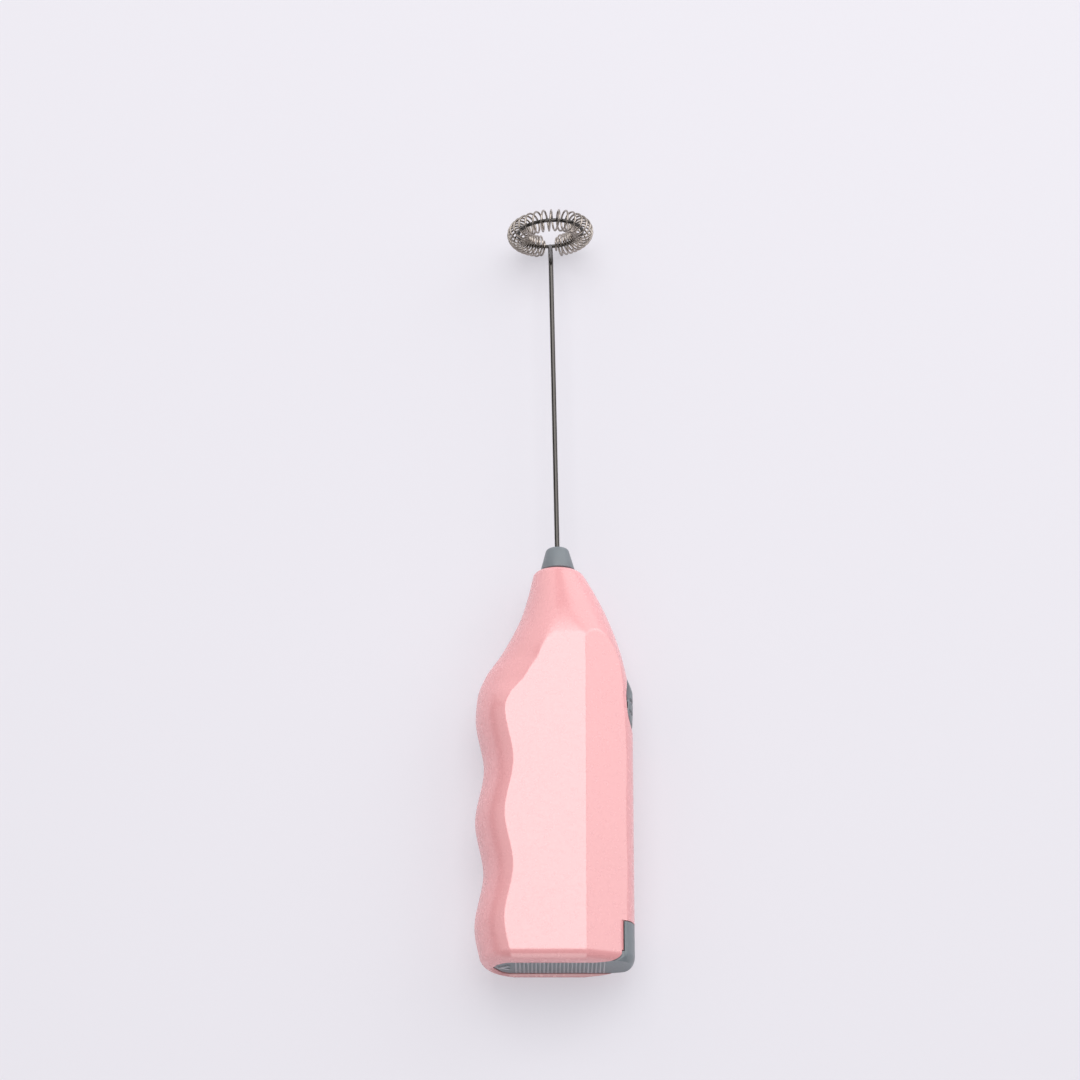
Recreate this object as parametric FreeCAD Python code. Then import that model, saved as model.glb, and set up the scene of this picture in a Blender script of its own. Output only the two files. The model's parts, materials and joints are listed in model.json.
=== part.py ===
import FreeCAD, Part
import math
import os

# Hand-held milk frother, lying on the flat side of its handle.
# Design axes: x across the handle from the shaft axis (+x is the thumb side), y along the handle from its
# bottom end to the whisk, z up from the surface that the handle lies on. Millimetres.
# The parts are moved at the end so that the origin is the middle of the whole object's footprint.

V = FreeCAD.Vector
ORIGIN = V(0, 0, 0)
X = V(1, 0, 0)
Y = V(0, 1, 0)
Z = V(0, 0, 1)

# handle
THICKNESS = 24.0
MID = THICKNESS / 2
NOSE_END = 104.5
THUMB_X = 19.1            # straight thumb side
THUMB_BEND_Y = 59.8       # where the thumb side starts to curve to the nose
THUMB_BEND_R = 82.5
CREST_X = -21.05          # finger grip, crests and valleys of the wave
VALLEY_X = -18.9
FIRST_CREST_Y = 10.6
HALF_WAVE = 13.55
NOSE_R = 6.1
NOSE_WALL_Y = 97.2        # the inside ends here
NOSE_HOLE_R = 3.8
WALL = 2.0
END_RADIUS = 3.0
NOSE_RADIUS = 1.5
FACET_X = 7.0             # straight crease between the flat face and the sloped facet
FACET_ANGLE = 25.7
BAND_WIDTH = 12.3         # half axis of the rounded finger band
BAND_TOP = 1.0            # how far the uncut band would rise above the flat face

# battery door
DOOR_HALF = 7.5           # visible half width
DOOR_DEPTH = 0.7          # recess of its face in the end of the handle
DOOR_TIP_X = -16.2
DOOR_FULL_X = -11.8       # where the pointed tip reaches the full width
TIP_STEPS = 6             # straight stretches along each side of the tip
DOOR_LEG_Y = 10.7
DOOR_LEG_T = 2.7
DOOR_GAP = 0.25
END_WALL = 4.0
DOOR_PLATE_END = 3.2      # inner face of the door's strip
TONGUE_X = -17.8          # tongue at the door's tip, behind the end wall
TONGUE_Y = 2.0
TONGUE_HALF = 3.0
HOOK_X = 14.9             # two hooks on the leg lie on two rests of the handle
HOOK_Y = 7.0
HOOK_T = 1.2
RIB_T = 0.5
RIB_PITCH = 1.0
RIB_H = 0.4
RIB_HALF = 6.9
RIB_FIRST_X = -10.8
RIB_COUNT = 23

# cells and contacts
CELL_R = 7.2
CELL_X = 7.6
CELL_Y = 4.6
CELL_L = 50.3
BULKHEAD_Y = 58.4
BULKHEAD_T = 1.2

LEAD_Y = 60.42            # leads run between the bulkhead and the motor
LEAD_HIGH_Z = MID + 6.2
LEAD_LOW_Z = MID + 4.6

# motor
BORE_SIDES = 20           # of the openings that hold the cells and the motor
MOTOR_Y = 61.2
MOTOR_L = 25.0
MOTOR_R = 10.05
MOTOR_FLAT = 7.6
CAN_T = 0.8
ROTOR_R = 6.6
MAGNET_IN = 7.1
SHAFT_R = 1.0
MOTOR_END = MOTOR_Y + MOTOR_L
CAP_T = 1.2
COMMUTATOR_Y = 64.4
COMMUTATOR_END = 67.6
BRUSH_Y = 64.9
ROTOR_Y = 68.6
ROTOR_END = 79.6
WINDING_OVERHANG = 0.95
TERMINAL_X = 6.0

# switch
SLIDE_TRAVEL = 3.0
SLIDER_Y = 66.0           # centre of the slider's round end
SLIDER_R = 5.9
SLIDER_TIP_Y = 77.0
SLIDER_RISE = 0.8         # highest place of its face over the spine
SLIDER_LOW = -0.35        # its face starts below the spine at the bottom end
SLIDER_PEAK = 11.1        # distance of the highest place from the bottom end
SLIDER_FLOOR = -1.0       # its flat underside, below the spine
GROOVE_COUNT = 3           # grooves across its face leave ridges for the thumb
GROOVE_FIRST = 2.25
GROOVE_PITCH = 3.1
GROOVE_W = 1.0
GROOVE_DEPTH = 0.35
SWITCH_Y = 69.5           # middle of the switch along the handle
SPINE_RUN = SWITCH_Y - THUMB_BEND_Y
SPINE_TILT = math.asin(SPINE_RUN / THUMB_BEND_R)
PAD_IN = -3.2             # inner face of the thickened wall under the slider
BATTERY_TAB = (-8.0, 1)   # where along the switch and to which side each contact's terminal comes out
MOTOR_TAB = (5.3, -1)

# whisk
COUPLING_R = 2.5
COUPLING_Y = 88.4
COUPLING_END = 101.0
WIRE_R = 0.8
HUB_Y = NOSE_END + 0.35
HUB_L = 6.2
HUB_R = 4.45
TURNED_SIDES = 24
RING_Y = 200.6
RING_R = 8.6              # middle of the hoop
HOOP_R = 0.55             # hoop wire
COIL_R = 2.85             # middle of the coil wire from the hoop
COIL_WIRE_R = 0.28
COIL_TURNS = 34
COIL_GAP = 0.19           # half of the angle that the coil leaves open for the shaft
COIL_CLOSER = 0.2         # how much closer than the mean its turns lie beside the shaft
COIL_STEPS = 7            # straight stretches in one turn
HOOP_STEPS = 40
COIL_SIDES = 4
RING_TILT = 2.4           # the ring's lean out of square to the shaft
BEND_Y = 192.5            # where the shaft leaves the axis for the hoop
BEND_R = 5.0
BEND_STEPS = 5

# the motor and the whisk lie on one axis that leans a little from the straight thumb side
LEAN = 1.1
TERMINAL_LEAN = (NOSE_END - LEAD_Y) * math.sin(math.radians(LEAN))

SLIDER_OUT_X = 19.29      # outermost point of the slider
WHISK_END_Y = 204.11      # farthest point of the coil
X_SHIFT = -(CREST_X + SLIDER_OUT_X) / 2
Y_SHIFT = -WHISK_END_Y / 2


# ---------------------------------------------------------------- helpers

def cylinder_y(radius, y0, y1, x=0.0, z=MID):
    return Part.makeCylinder(radius, y1 - y0, V(x, y0, z), Y)


def box(x0, x1, y0, y1, z0, z1):
    return Part.makeBox(x1 - x0, y1 - y0, z1 - z0, V(x0, y0, z0))


def bore(radius, y0, y1, x=0.0):
    """Many-sided cutter along y that clears a round part of this radius."""
    corner = radius / math.cos(math.pi / BORE_SIDES)
    angles = [math.tau * (k + 0.5) / BORE_SIDES for k in range(BORE_SIDES)]
    points = [V(x + corner * math.cos(a), y0, MID + corner * math.sin(a)) for a in angles]
    return Part.Face(Part.makePolygon(points + points[:1])).extrude(V(0, y1 - y0, 0))


def motor_bore(clearance, y0, y1):
    """Cutter that clears the flat-sided motor can, on its leaning axis."""
    flat = MOTOR_FLAT + clearance
    return leaned(bore(MOTOR_R + clearance, y0, y1).common(box(-20, 20, y0, y1, MID - flat, MID + flat)))


def mirrored(shape):
    """The same shape on the other side of the handle's middle plane."""
    return shape.mirror(V(0, 0, MID), Z)


def plate(points, z0, z1):
    """A flat piece with an outline in x and y."""
    wire = Part.makePolygon([V(x, y, z0) for x, y in points + points[:1]])
    return Part.Face(wire).extrude(V(0, 0, z1 - z0))


def curve_along_y(knots):
    """A smooth curve through (y, value) knots that never overshoots them, as a function of y."""
    lengths = [b[0] - a[0] for a, b in zip(knots, knots[1:])]
    rises = [(b[1] - a[1]) / (b[0] - a[0]) for a, b in zip(knots, knots[1:])]
    slopes = [0.0]
    for i in range(1, len(knots) - 1):
        if rises[i - 1] * rises[i] <= 0:
            slopes.append(0.0)
            continue
        before = 2 * lengths[i] + lengths[i - 1]
        after = lengths[i] + 2 * lengths[i - 1]
        slopes.append((before + after) / (before / rises[i - 1] + after / rises[i]))
    slopes.append(rises[-1])

    def value(y):
        i = 0
        while i < len(lengths) - 1 and y > knots[i + 1][0]:
            i += 1
        t = (y - knots[i][0]) / lengths[i]
        ease = t * t * (3 - 2 * t)
        swing = slopes[i] * t * (1 - t) ** 2 - slopes[i + 1] * t * t * (1 - t)
        return knots[i][1] + (knots[i + 1][1] - knots[i][1]) * ease + lengths[i] * swing

    return value


def skin(rings):
    """Closed solid of flat faces through rings of points, all with the same number of points."""
    count = len(rings[0])
    faces = []
    for one, two in zip(rings, rings[1:]):
        for k in range(count):
            m = (k + 1) % count
            faces.append(Part.Face(Part.makePolygon([one[k], one[m], two[m], one[k]])))
            faces.append(Part.Face(Part.makePolygon([one[k], two[m], two[k], one[k]])))
    for ring in (rings[0], rings[-1]):
        faces.append(Part.Face(Part.makePolygon(ring + ring[:1])))
    shell = Part.Shell(faces)
    shell.sewShape()
    solid = Part.Solid(shell)
    if solid.Volume < 0:
        solid.reverse()
    return solid


def leaned(shape):
    """The shape turned from the handle's direction to the leaning axis of the motor and the whisk."""
    piece = shape.copy()
    piece.rotate(V(0, NOSE_END, MID), Z, LEAN)
    return piece


# ---------------------------------------------------------------- the handle's outer form

def wave_points():
    """Crests and valleys of the finger grip, ending in the slope down to the nose."""
    points = []
    for i in range(-1, 5):
        crest = i % 2 == 0
        points.append((FIRST_CREST_Y + i * HALF_WAVE, CREST_X if crest else VALLEY_X))
    slope = [(70.4, -20.6), (75.7, -18.65), (81.1, -14.95), (86.5, -11.9), (91.9, -9.4), (97.3, -7.75)]
    return points + slope + [(NOSE_END, -NOSE_R)]


FINGER = curve_along_y(wave_points())
# half axis of the band from the silhouette inwards, and half height of the uncut form
BAND = curve_along_y([
    (-3.0, BAND_WIDTH), (64.8, BAND_WIDTH), (68.7, 14.1), (72.9, 18.5), (77.2, 19.1), (81.4, 15.4),
    (84.4, 13.3), (91.0, 10.3), (97.3, 7.9), (NOSE_END, NOSE_R)])
RISE = curve_along_y([
    (-3.0, MID + BAND_TOP), (66.5, MID + BAND_TOP), (77.4, 12.9), (81.4, 12.5), (84.4, 12.0), (91.0, 10.5),
    (97.4, 8.45), (NOSE_END, NOSE_R)])
# middle and squareness of the thumb side's rounded spine
SPINE_X = curve_along_y([(-3.0, -8.2), (66.5, -8.2), (77.4, 0.5), (91.0, 0.5), (NOSE_END, 0.0)])
SQUARENESS = curve_along_y([(-3.0, 2.8), (77.4, 2.8), (85.0, 2.5), (NOSE_END, 2.0)])
WAVE_STEP = HALF_WAVE / 3
FORM_STATIONS = [FIRST_CREST_Y - HALF_WAVE] + [FIRST_CREST_Y + i * WAVE_STEP for i in range(-1, 13)]
FORM_STATIONS += [67.5, 70.4, 73.0, 75.7, 78.4, 81.1, 84.4, 87.5, 91.9, 97.3]
BAND_ANGLES = (0, 15, 30, 45, 61, 79)
SPINE_ANGLES = (70, 48, 30, 14)
# the moulded inside is plainer than the outside
CAVITY_STATIONS = [FIRST_CREST_Y + i * HALF_WAVE for i in range(-1, 5)] + [70.4, 77.2, 84.4, 94.0, NOSE_END]
CAVITY_BAND_ANGLES = (0, 25, 50, 75)
CAVITY_SPINE_ANGLES = (55, 30, 14)


def thumb_edge(y):
    if y <= THUMB_BEND_Y:
        return THUMB_X
    run = y - THUMB_BEND_Y
    return THUMB_X - (THUMB_BEND_R - math.sqrt(THUMB_BEND_R ** 2 - run ** 2))


def section(y, inset, band_angles=BAND_ANGLES, spine_angles=SPINE_ANGLES):
    """Points round the section at y: an elliptical finger band on -x, a squarer spine on +x."""
    left = FINGER(y) + inset
    right = thumb_edge(y) - inset
    rise = RISE(y) - inset
    band = max(BAND(y) - inset, 1.0)
    middle = max(SPINE_X(y), left + band)
    power = SQUARENESS(y)
    upper = []
    for degrees in band_angles:
        a = math.radians(degrees)
        upper.append((left + band * (1 - math.cos(a)), rise * math.sin(a)))
    for degrees in spine_angles:
        a = math.radians(degrees)
        across = math.cos(a) ** (2 / power)
        upper.append((middle + (right - middle) * across, rise * math.sin(a) ** (2 / power)))
    points = [V(x, y, MID + h) for x, h in upper]
    points.append(V(right, y, MID))
    points += [V(x, y, MID - h) for x, h in reversed(upper[1:])]
    return points


def corner_profile(y_end):
    """Outline in y and z of the space above a flat face whose end at y = 0 is rounded."""
    r = END_RADIUS
    far = 60.0
    arc_mid = r * (1 - math.sqrt(0.5))
    start = V(0, 0, -r)
    edges = [
        Part.LineSegment(V(0, -5, -r), start),
        Part.Arc(start, V(0, arc_mid, -arc_mid), V(0, r, 0)),
        Part.LineSegment(V(0, r, 0), V(0, y_end, 0)),
        Part.LineSegment(V(0, y_end, 0), V(0, y_end, far)),
        Part.LineSegment(V(0, y_end, far), V(0, -5, far)),
        Part.LineSegment(V(0, -5, far), V(0, -5, -r)),
    ]
    return Part.Face(Part.Wire([e.toShape() for e in edges]))


def flat_cuts(inset, rounded):
    """The space outside the two flat faces and the two sloped facets."""
    reach = 60.0
    far = NOSE_END + 10
    if rounded:
        top = corner_profile(far).extrude(V(2 * reach, 0, 0))
    else:
        top = box(0, 2 * reach, -5, far, 0, reach)
    facet = top.copy()
    top.translate(V(-reach, 0, THICKNESS - inset))
    facet.translate(V(0, 0, -inset))
    facet.rotate(ORIGIN, Y, FACET_ANGLE)
    facet.translate(V(FACET_X, 0, THICKNESS))
    return [top, facet, mirrored(top), mirrored(facet)]


def handle_form(inset, y0, y1):
    """The handle's form in plainer lines, moved inwards by inset and cut to length."""
    form = skin([section(y, inset, CAVITY_BAND_ANGLES, CAVITY_SPINE_ANGLES) for y in CAVITY_STATIONS])
    form = form.common(box(-40, 40, y0, y1, -10, THICKNESS + 10))
    return form.cut(flat_cuts(inset, False))


def outer_form():
    """The handle's outside, with a rounded edge at each end."""
    stations = []
    for degrees in (0, 30, 60):
        a = math.radians(degrees)
        stations.append((END_RADIUS * (1 - math.cos(a)), END_RADIUS * (1 - math.sin(a))))
    stations.append((END_RADIUS, 0.0))
    stations += [(y, 0.0) for y in FORM_STATIONS if END_RADIUS < y < NOSE_END - NOSE_RADIUS]
    for degrees in (0, 30, 60, 90):
        a = math.radians(degrees)
        stations.append((NOSE_END - NOSE_RADIUS * (1 - math.sin(a)), NOSE_RADIUS * (1 - math.cos(a))))
    form = skin([section(y, inset) for y, inset in stations])
    return form.cut(flat_cuts(0.0, True))


# ---------------------------------------------------------------- battery door

def strip(half, tip_x, full_x, end_x, y0, y1):
    """Pointed strip in x and z: a two-arc tip towards -x and straight sides to end_x."""
    bulge = V(tip_x + 0.42 * (full_x - tip_x), y0, MID + 0.70 * half)
    arc = Part.Arc(V(tip_x, y0, MID), bulge, V(full_x, y0, MID + half)).toShape()
    upper = arc.discretize(TIP_STEPS + 1)
    if upper[0].x > upper[-1].x:
        upper.reverse()
    lower = [V(p.x, p.y, 2 * MID - p.z) for p in reversed(upper[1:])]
    points = upper + [V(end_x, y0, MID + half), V(end_x, y0, MID - half)] + lower
    return Part.Face(Part.makePolygon(points + points[:1])).extrude(V(0, y1 - y0, 0))


def both_sides(x0, x1, y0, y1, near, far):
    """Two equal blocks, near to far from the handle's middle plane."""
    block = box(x0, x1, y0, y1, MID + near, MID + far)
    return [block, mirrored(block)]


def door_space():
    """What the end wall and the spine leave open for the door."""
    half = DOOR_HALF + DOOR_GAP
    slot = strip(half, DOOR_TIP_X - DOOR_GAP, DOOR_FULL_X - DOOR_GAP, 30, -1, END_WALL + 1)
    tongue = box(TONGUE_X - DOOR_GAP, DOOR_TIP_X + 2, TONGUE_Y - DOOR_GAP, DOOR_PLATE_END + DOOR_GAP,
                 MID - TONGUE_HALF - DOOR_GAP, MID + TONGUE_HALF + DOOR_GAP)
    leg = box(THUMB_X - DOOR_LEG_T - DOOR_GAP, 30, -1, DOOR_LEG_Y + DOOR_GAP, MID - half, MID + half)
    return slot.fuse([tongue, leg])


def hook_rests():
    """Two short ribs inside the thumb wall that the hooks of the door's leg lie on."""
    return both_sides(HOOK_X, HOOK_X + 1.0, HOOK_Y - 1.7, HOOK_Y - 0.3, 2.8, 8.0)


def battery_door(outside):
    inner_x = THUMB_X - DOOR_LEG_T
    plate_solid = strip(DOOR_HALF, DOOR_TIP_X, DOOR_FULL_X, 30, DOOR_DEPTH, DOOR_PLATE_END)
    leg = box(inner_x, 30, DOOR_DEPTH, DOOR_LEG_Y, MID - DOOR_HALF, MID + DOOR_HALF)
    door = plate_solid.fuse(leg).common(outside)
    tongue = box(TONGUE_X, DOOR_TIP_X + 2, TONGUE_Y, DOOR_PLATE_END, MID - TONGUE_HALF, MID + TONGUE_HALF)
    hooks = both_sides(HOOK_X, inner_x + 0.1, HOOK_Y, HOOK_Y + HOOK_T, 2.2, 4.3)
    ribs = []
    for i in range(RIB_COUNT):
        x = RIB_FIRST_X + i * RIB_PITCH
        ribs.append(box(x, x + RIB_T, DOOR_DEPTH - RIB_H, DOOR_DEPTH + 0.1, MID - RIB_HALF, MID + RIB_HALF))
    # arrow at the tip that shows the way in
    arrow = plate_y([(-14.9, 0.0), (-12.6, 2.3), (-12.0, 1.7), (-13.7, 0.0), (-12.0, -1.7), (-12.6, -2.3)],
                    DOOR_DEPTH - RIB_H, DOOR_DEPTH + 0.1)
    return door.fuse([tongue, arrow] + hooks + ribs).removeSplitter()


def plate_y(points, y0, y1):
    """A piece with an outline in x and z (z from the middle plane), y0 to y1 thick."""
    wire = Part.makePolygon([V(x, y0, MID + z) for x, z in points + points[:1]])
    return Part.Face(wire).extrude(V(0, y1 - y0, 0))


def door_contact_plate():
    """Strip that joins the two cells at the door, with a raised leaf for each."""
    y = DOOR_PLATE_END
    shape = box(-12.0, 12.0, y, y + 0.4, MID - 4.0, MID + 4.0)
    leaves = []
    for x in (-CELL_X, CELL_X):
        profile = [V(x - 3.2, y + 0.4, MID - 2.0), V(x - 1.2, y + 1.05, MID - 2.0),
                   V(x + 1.2, y + 1.05, MID - 2.0), V(x + 3.2, y + 0.4, MID - 2.0)]
        leaves.append(Part.Face(Part.makePolygon(profile + profile[:1])).extrude(V(0, 0, 4.0)))
    return shape.fuse(leaves)


# ---------------------------------------------------------------- thumb switch

def on_spine(shape):
    """Move a shape from the switch's own axes (x out of the spine, y along it) to its place."""
    placed = shape.copy()
    placed.rotate(ORIGIN, Z, math.degrees(SPINE_TILT))
    placed.translate(V(thumb_edge(SWITCH_Y), SWITCH_Y, MID))
    return placed


def teardrop(radius, y_centre, y_tip, x0, x1):
    """Round at the bottom end, pointed towards the nose, in the switch's own axes."""
    turn = math.acos(radius / (y_tip - y_centre))
    touch_y = y_centre + radius * math.cos(turn)
    touch_z = radius * math.sin(turn)
    tip = V(x0, y_tip, 0)
    a = V(x0, touch_y, touch_z)
    b = V(x0, touch_y, -touch_z)
    edges = [
        Part.Arc(a, V(x0, y_centre - radius, 0), b).toShape(),
        Part.LineSegment(b, tip).toShape(),
        Part.LineSegment(tip, a).toShape(),
    ]
    return Part.Face(Part.Wire(edges)).extrude(V(x1 - x0, 0, 0))


def slider_pocket():
    """Pocket and stem slot for the whole travel of the slider."""
    gap = 0.35
    centre = SLIDER_Y - SWITCH_Y
    tip = SLIDER_TIP_Y - SWITCH_Y + 2 * gap
    radius = SLIDER_R + gap
    floor = SLIDER_FLOOR - gap
    shapes = [teardrop(radius, centre + move, tip + move, floor, 6.0) for move in (0, SLIDE_TRAVEL)]
    shapes.append(Part.makeBox(6.0 - floor, SLIDE_TRAVEL, 2 * radius, V(floor, centre, -radius)))
    slot = Part.makeBox(12.0, 4.0 + SLIDE_TRAVEL + 2 * gap, 3.0 + 2 * gap, V(-6.0, -2.0 - gap, -1.5 - gap))
    return on_spine(shapes[0].fuse(shapes[1:] + [slot]))


def switch_slider(raised_form):
    centre = SLIDER_Y - SWITCH_Y
    tip = SLIDER_TIP_Y - SWITCH_Y
    bottom = centre - SLIDER_R
    cap = teardrop(SLIDER_R, centre, tip, SLIDER_FLOOR, 3.0)
    peak = bottom + SLIDER_PEAK
    space = [V(SLIDER_LOW, bottom - 1, -8), V(SLIDER_LOW, bottom, -8), V(SLIDER_RISE, peak, -8),
             V(-0.1, tip, -8), V(5, tip, -8), V(5, bottom - 1, -8)]
    cuts = [Part.Face(Part.makePolygon(space + space[:1])).extrude(V(0, 0, 16))]
    for i in range(GROOVE_COUNT):
        y = GROOVE_FIRST + GROOVE_PITCH * i
        face = SLIDER_LOW + (SLIDER_RISE - SLIDER_LOW) * y / SLIDER_PEAK
        cuts.append(Part.makeBox(3, GROOVE_W, 7.0, V(face - GROOVE_DEPTH, bottom + y - GROOVE_W / 2, -3.5)))
    cap = on_spine(cap.cut(cuts)).common(raised_form)
    stem = Part.makeBox(3.3, 4.0, 3.0, V(-4.3, -2.0, -1.5))
    return cap.fuse(on_spine(stem))


def switch_bridge():
    return on_spine(Part.makeBox(0.4, 10.5, 3.0, V(-4.7, -6.5, -1.5)))


def switch_tab(y, side):
    """Terminal of a fixed contact: it comes out through the side of the base, for its lead."""
    tab = Part.makeBox(0.3, 0.9, 4.4, V(-6.1, y, 1.4))
    return tab if side > 0 else tab.mirror(ORIGIN, Z)


def switch_base():
    """Channel that closes the switch from inside and carries its fixed contacts."""
    outer = Part.makeBox(6.9 + PAD_IN, 19.0, 8.2, V(-6.9, -8.9, -4.1))
    inner = Part.makeBox(4.0, 23.2, 6.6, V(-6.1, -9.9, -3.3))
    base = on_spine(outer.cut([inner, switch_tab(*BATTERY_TAB), switch_tab(*MOTOR_TAB)]))
    return base.common(handle_form(WALL, BULKHEAD_Y, 90)).cut(motor_bore(0.25, MOTOR_Y, MOTOR_END))


def switch_contact(y0, y1, bump_y, tab):
    leaf = Part.makeBox(0.3, y1 - y0, 3.0, V(-6.1, y0, -1.5))
    bump = Part.makeCylinder(0.8, 3.0, V(-5.8, bump_y, -1.5), Z)
    inside = Part.makeBox(2.0, 40, 10, V(-6.1, -20, -5))
    return on_spine(leaf.fuse([bump.common(inside), switch_tab(*tab)]))


# ---------------------------------------------------------------- cells and their contacts

def aa_cell(x, nub_up):
    """Cell body with its positive nub at one end."""
    r = CELL_R
    nub = 2.7
    nub_h = 1.0
    length = CELL_L
    points = [(0, 0), (r, 0), (r, length - nub_h), (nub, length - nub_h), (nub, length), (0, length)]
    wire = Part.makePolygon([V(a, b, 0) for a, b in points + points[:1]])
    solid = Part.Face(wire).revolve(ORIGIN, Y, 360)
    if not nub_up:
        solid.rotate(ORIGIN, X, 180)
        solid.translate(V(0, length, 0))
    solid.translate(V(x, CELL_Y, MID))
    return solid


def wire_along(points, radius, sides, outward=None, closed=False):
    """Solid of flat faces along a line of points, open or closed. outward fixes the turn at each point."""
    count = len(points)
    rings = []
    side = X + Z
    for i, point in enumerate(points):
        before = points[i - 1] if closed or i > 0 else point
        after = points[(i + 1) % count] if closed or i < count - 1 else point
        along = (after - before).normalize()
        # each ring keeps the last one's direction, or the given one, so that the wire isn't twisted
        side = outward[i] if outward else side
        side = (side - along * side.dot(along)).normalize()
        up = side.cross(along)
        ring = []
        for k in range(sides):
            a = 2 * math.pi * k / sides
            ring.append(point + side * (radius * math.cos(a)) + up * (radius * math.sin(a)))
        rings.append(ring)
    faces = []
    spans = count if closed else count - 1
    for i in range(spans):
        one = rings[i]
        two = rings[(i + 1) % count]
        for k in range(sides):
            m = (k + 1) % sides
            faces.append(Part.Face(Part.makePolygon([one[k], one[m], two[m], one[k]])))
            faces.append(Part.Face(Part.makePolygon([one[k], two[m], two[k], one[k]])))
    if not closed:
        for ring in (rings[0], rings[-1]):
            faces.append(Part.Face(Part.makePolygon(ring + ring[:1])))
    solid = Part.Solid(Part.Shell(faces))
    if solid.Volume < 0:
        solid.reverse()
    return solid


def battery_spring():
    """Conical spring between the bulkhead and the flat end of a cell."""
    turns = 3.5
    steps = 11
    y0 = BULKHEAD_Y - 0.35
    y1 = CELL_Y + CELL_L + 0.4
    points = []
    total = round(turns * steps)
    for i in range(total + 1):
        share = i / total
        a = 2 * math.pi * turns * share
        r = 4.2 - 1.8 * share
        points.append(V(CELL_X + r * math.cos(a), y0 + (y1 - y0) * share, MID + r * math.sin(a)))
    spring = wire_along(points, 0.3, 5)
    foot = box(CELL_X - 5.0, CELL_X + 5.0, BULKHEAD_Y - 0.3, BULKHEAD_Y, MID - 5.0, MID + 5.0)
    tab = box(CELL_X - 1.0, CELL_X + 1.0, BULKHEAD_Y - 0.3, BULKHEAD_Y, MID + 5.0, LEAD_LOW_Z + 0.6)
    return [spring, foot.fuse(tab)]


def battery_contact_positive():
    foot = box(-CELL_X - 5.0, -CELL_X + 5.0, BULKHEAD_Y - 0.3, BULKHEAD_Y, MID - 4.0, MID + 4.0)
    tab = box(-CELL_X - 1.0, -CELL_X + 1.0, BULKHEAD_Y - 0.3, BULKHEAD_Y, MID + 4.0, LEAD_HIGH_Z + 0.6)
    top = CELL_Y + CELL_L + 0.15
    points = [(-CELL_X - 3.0, BULKHEAD_Y - 0.3), (-CELL_X - 1.6, top), (-CELL_X + 1.6, top),
              (-CELL_X + 3.0, BULKHEAD_Y - 0.3)]
    return foot.fuse([tab, plate(points, MID - 2.2, MID + 2.2)])


# ---------------------------------------------------------------- motor

def motor_section(radius, flat, y0, y1):
    return cylinder_y(radius, y0, y1).common(box(-20, 20, y0, y1, MID - flat, MID + flat))


def motor_can():
    body = motor_section(MOTOR_R, MOTOR_FLAT, MOTOR_Y + CAP_T, MOTOR_END)
    body = body.cut(motor_section(MOTOR_R - CAN_T, MOTOR_FLAT - CAN_T, MOTOR_Y, MOTOR_END - CAN_T))
    return body.cut(cylinder_y(3.0, MOTOR_END - 2, MOTOR_END + 1))


def motor_end_cap():
    cap = motor_section(MOTOR_R, MOTOR_FLAT, MOTOR_Y, MOTOR_Y + CAP_T)
    boss = cylinder_y(3.4, MOTOR_Y + CAP_T, MOTOR_Y + CAP_T + 1.0)
    return cap.fuse(boss).cut(cylinder_y(2.5, MOTOR_Y - 1, MOTOR_Y + 4))


def motor_bush(radius, y0, y1):
    return cylinder_y(radius, y0, y1).cut(cylinder_y(SHAFT_R + 0.05, y0 - 1, y1 + 1))


def motor_magnets():
    """Two arc magnets inside the can's round sides."""
    ring = cylinder_y(MOTOR_R - CAN_T, MOTOR_Y + 5, MOTOR_END - 4)
    ring = ring.cut(cylinder_y(MAGNET_IN, MOTOR_Y, MOTOR_END))
    return ring.common(box(-20, 20, MOTOR_Y, MOTOR_END, MID - 5.2, MID + 5.2))


def motor_brushes():
    """A carbon block on a spring leaf on each side of the commutator."""
    shapes = []
    for side in (1, -1):
        block = box(-0.9, 0.9, BRUSH_Y, BRUSH_Y + 1.5, MID, MID + 1.2)
        block.translate(V(0, 0, 2.6 if side > 0 else -3.8))
        leaf = box(-7.0, 7.0, BRUSH_Y + 0.2, BRUSH_Y + 1.3, MID, MID + 0.3)
        leaf.translate(V(0, 0, 3.8 if side > 0 else -4.1))
        shapes.append(block.fuse(leaf))
    return shapes


def motor_terminals():
    shapes = []
    for x in (-TERMINAL_X, TERMINAL_X):
        shapes.append(box(x - 1.2, x + 1.2, 60.0, MOTOR_Y, MID + 3.0, MID + 3.4))
    return shapes


def rotor_core():
    """Three-pole lamination stack: T-shaped poles with open slots between them."""
    core = cylinder_y(ROTOR_R, ROTOR_Y, ROTOR_END)
    cuts = [cylinder_y(SHAFT_R, ROTOR_Y - 1, ROTOR_END + 1)]
    for i in range(3):
        slot = plate_y([(2.4, 0.0), (4.2, -3.2), (5.2, -2.6), (5.2, -0.5), (8.0, -0.5), (8.0, 0.5),
                        (5.2, 0.5), (5.2, 2.6), (4.2, 3.2)], ROTOR_Y - 1, ROTOR_END + 1)
        slot.rotate(V(0, 0, MID), Y, 120 * i)
        cuts.append(slot)
    return core.cut(cuts)


def rotor_windings():
    """Wound bundles in the slots between the poles, standing out at both ends of the core."""
    bundles = []
    for i in range(3):
        bundle = plate_y([(2.7, 0.0), (4.2, -2.7), (4.9, -2.2), (4.9, 2.2), (4.2, 2.7)],
                         ROTOR_Y - WINDING_OVERHANG, ROTOR_END + WINDING_OVERHANG)
        bundle.rotate(V(0, 0, MID), Y, 120 * i)
        bundles.append(bundle)
    return bundles


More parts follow.
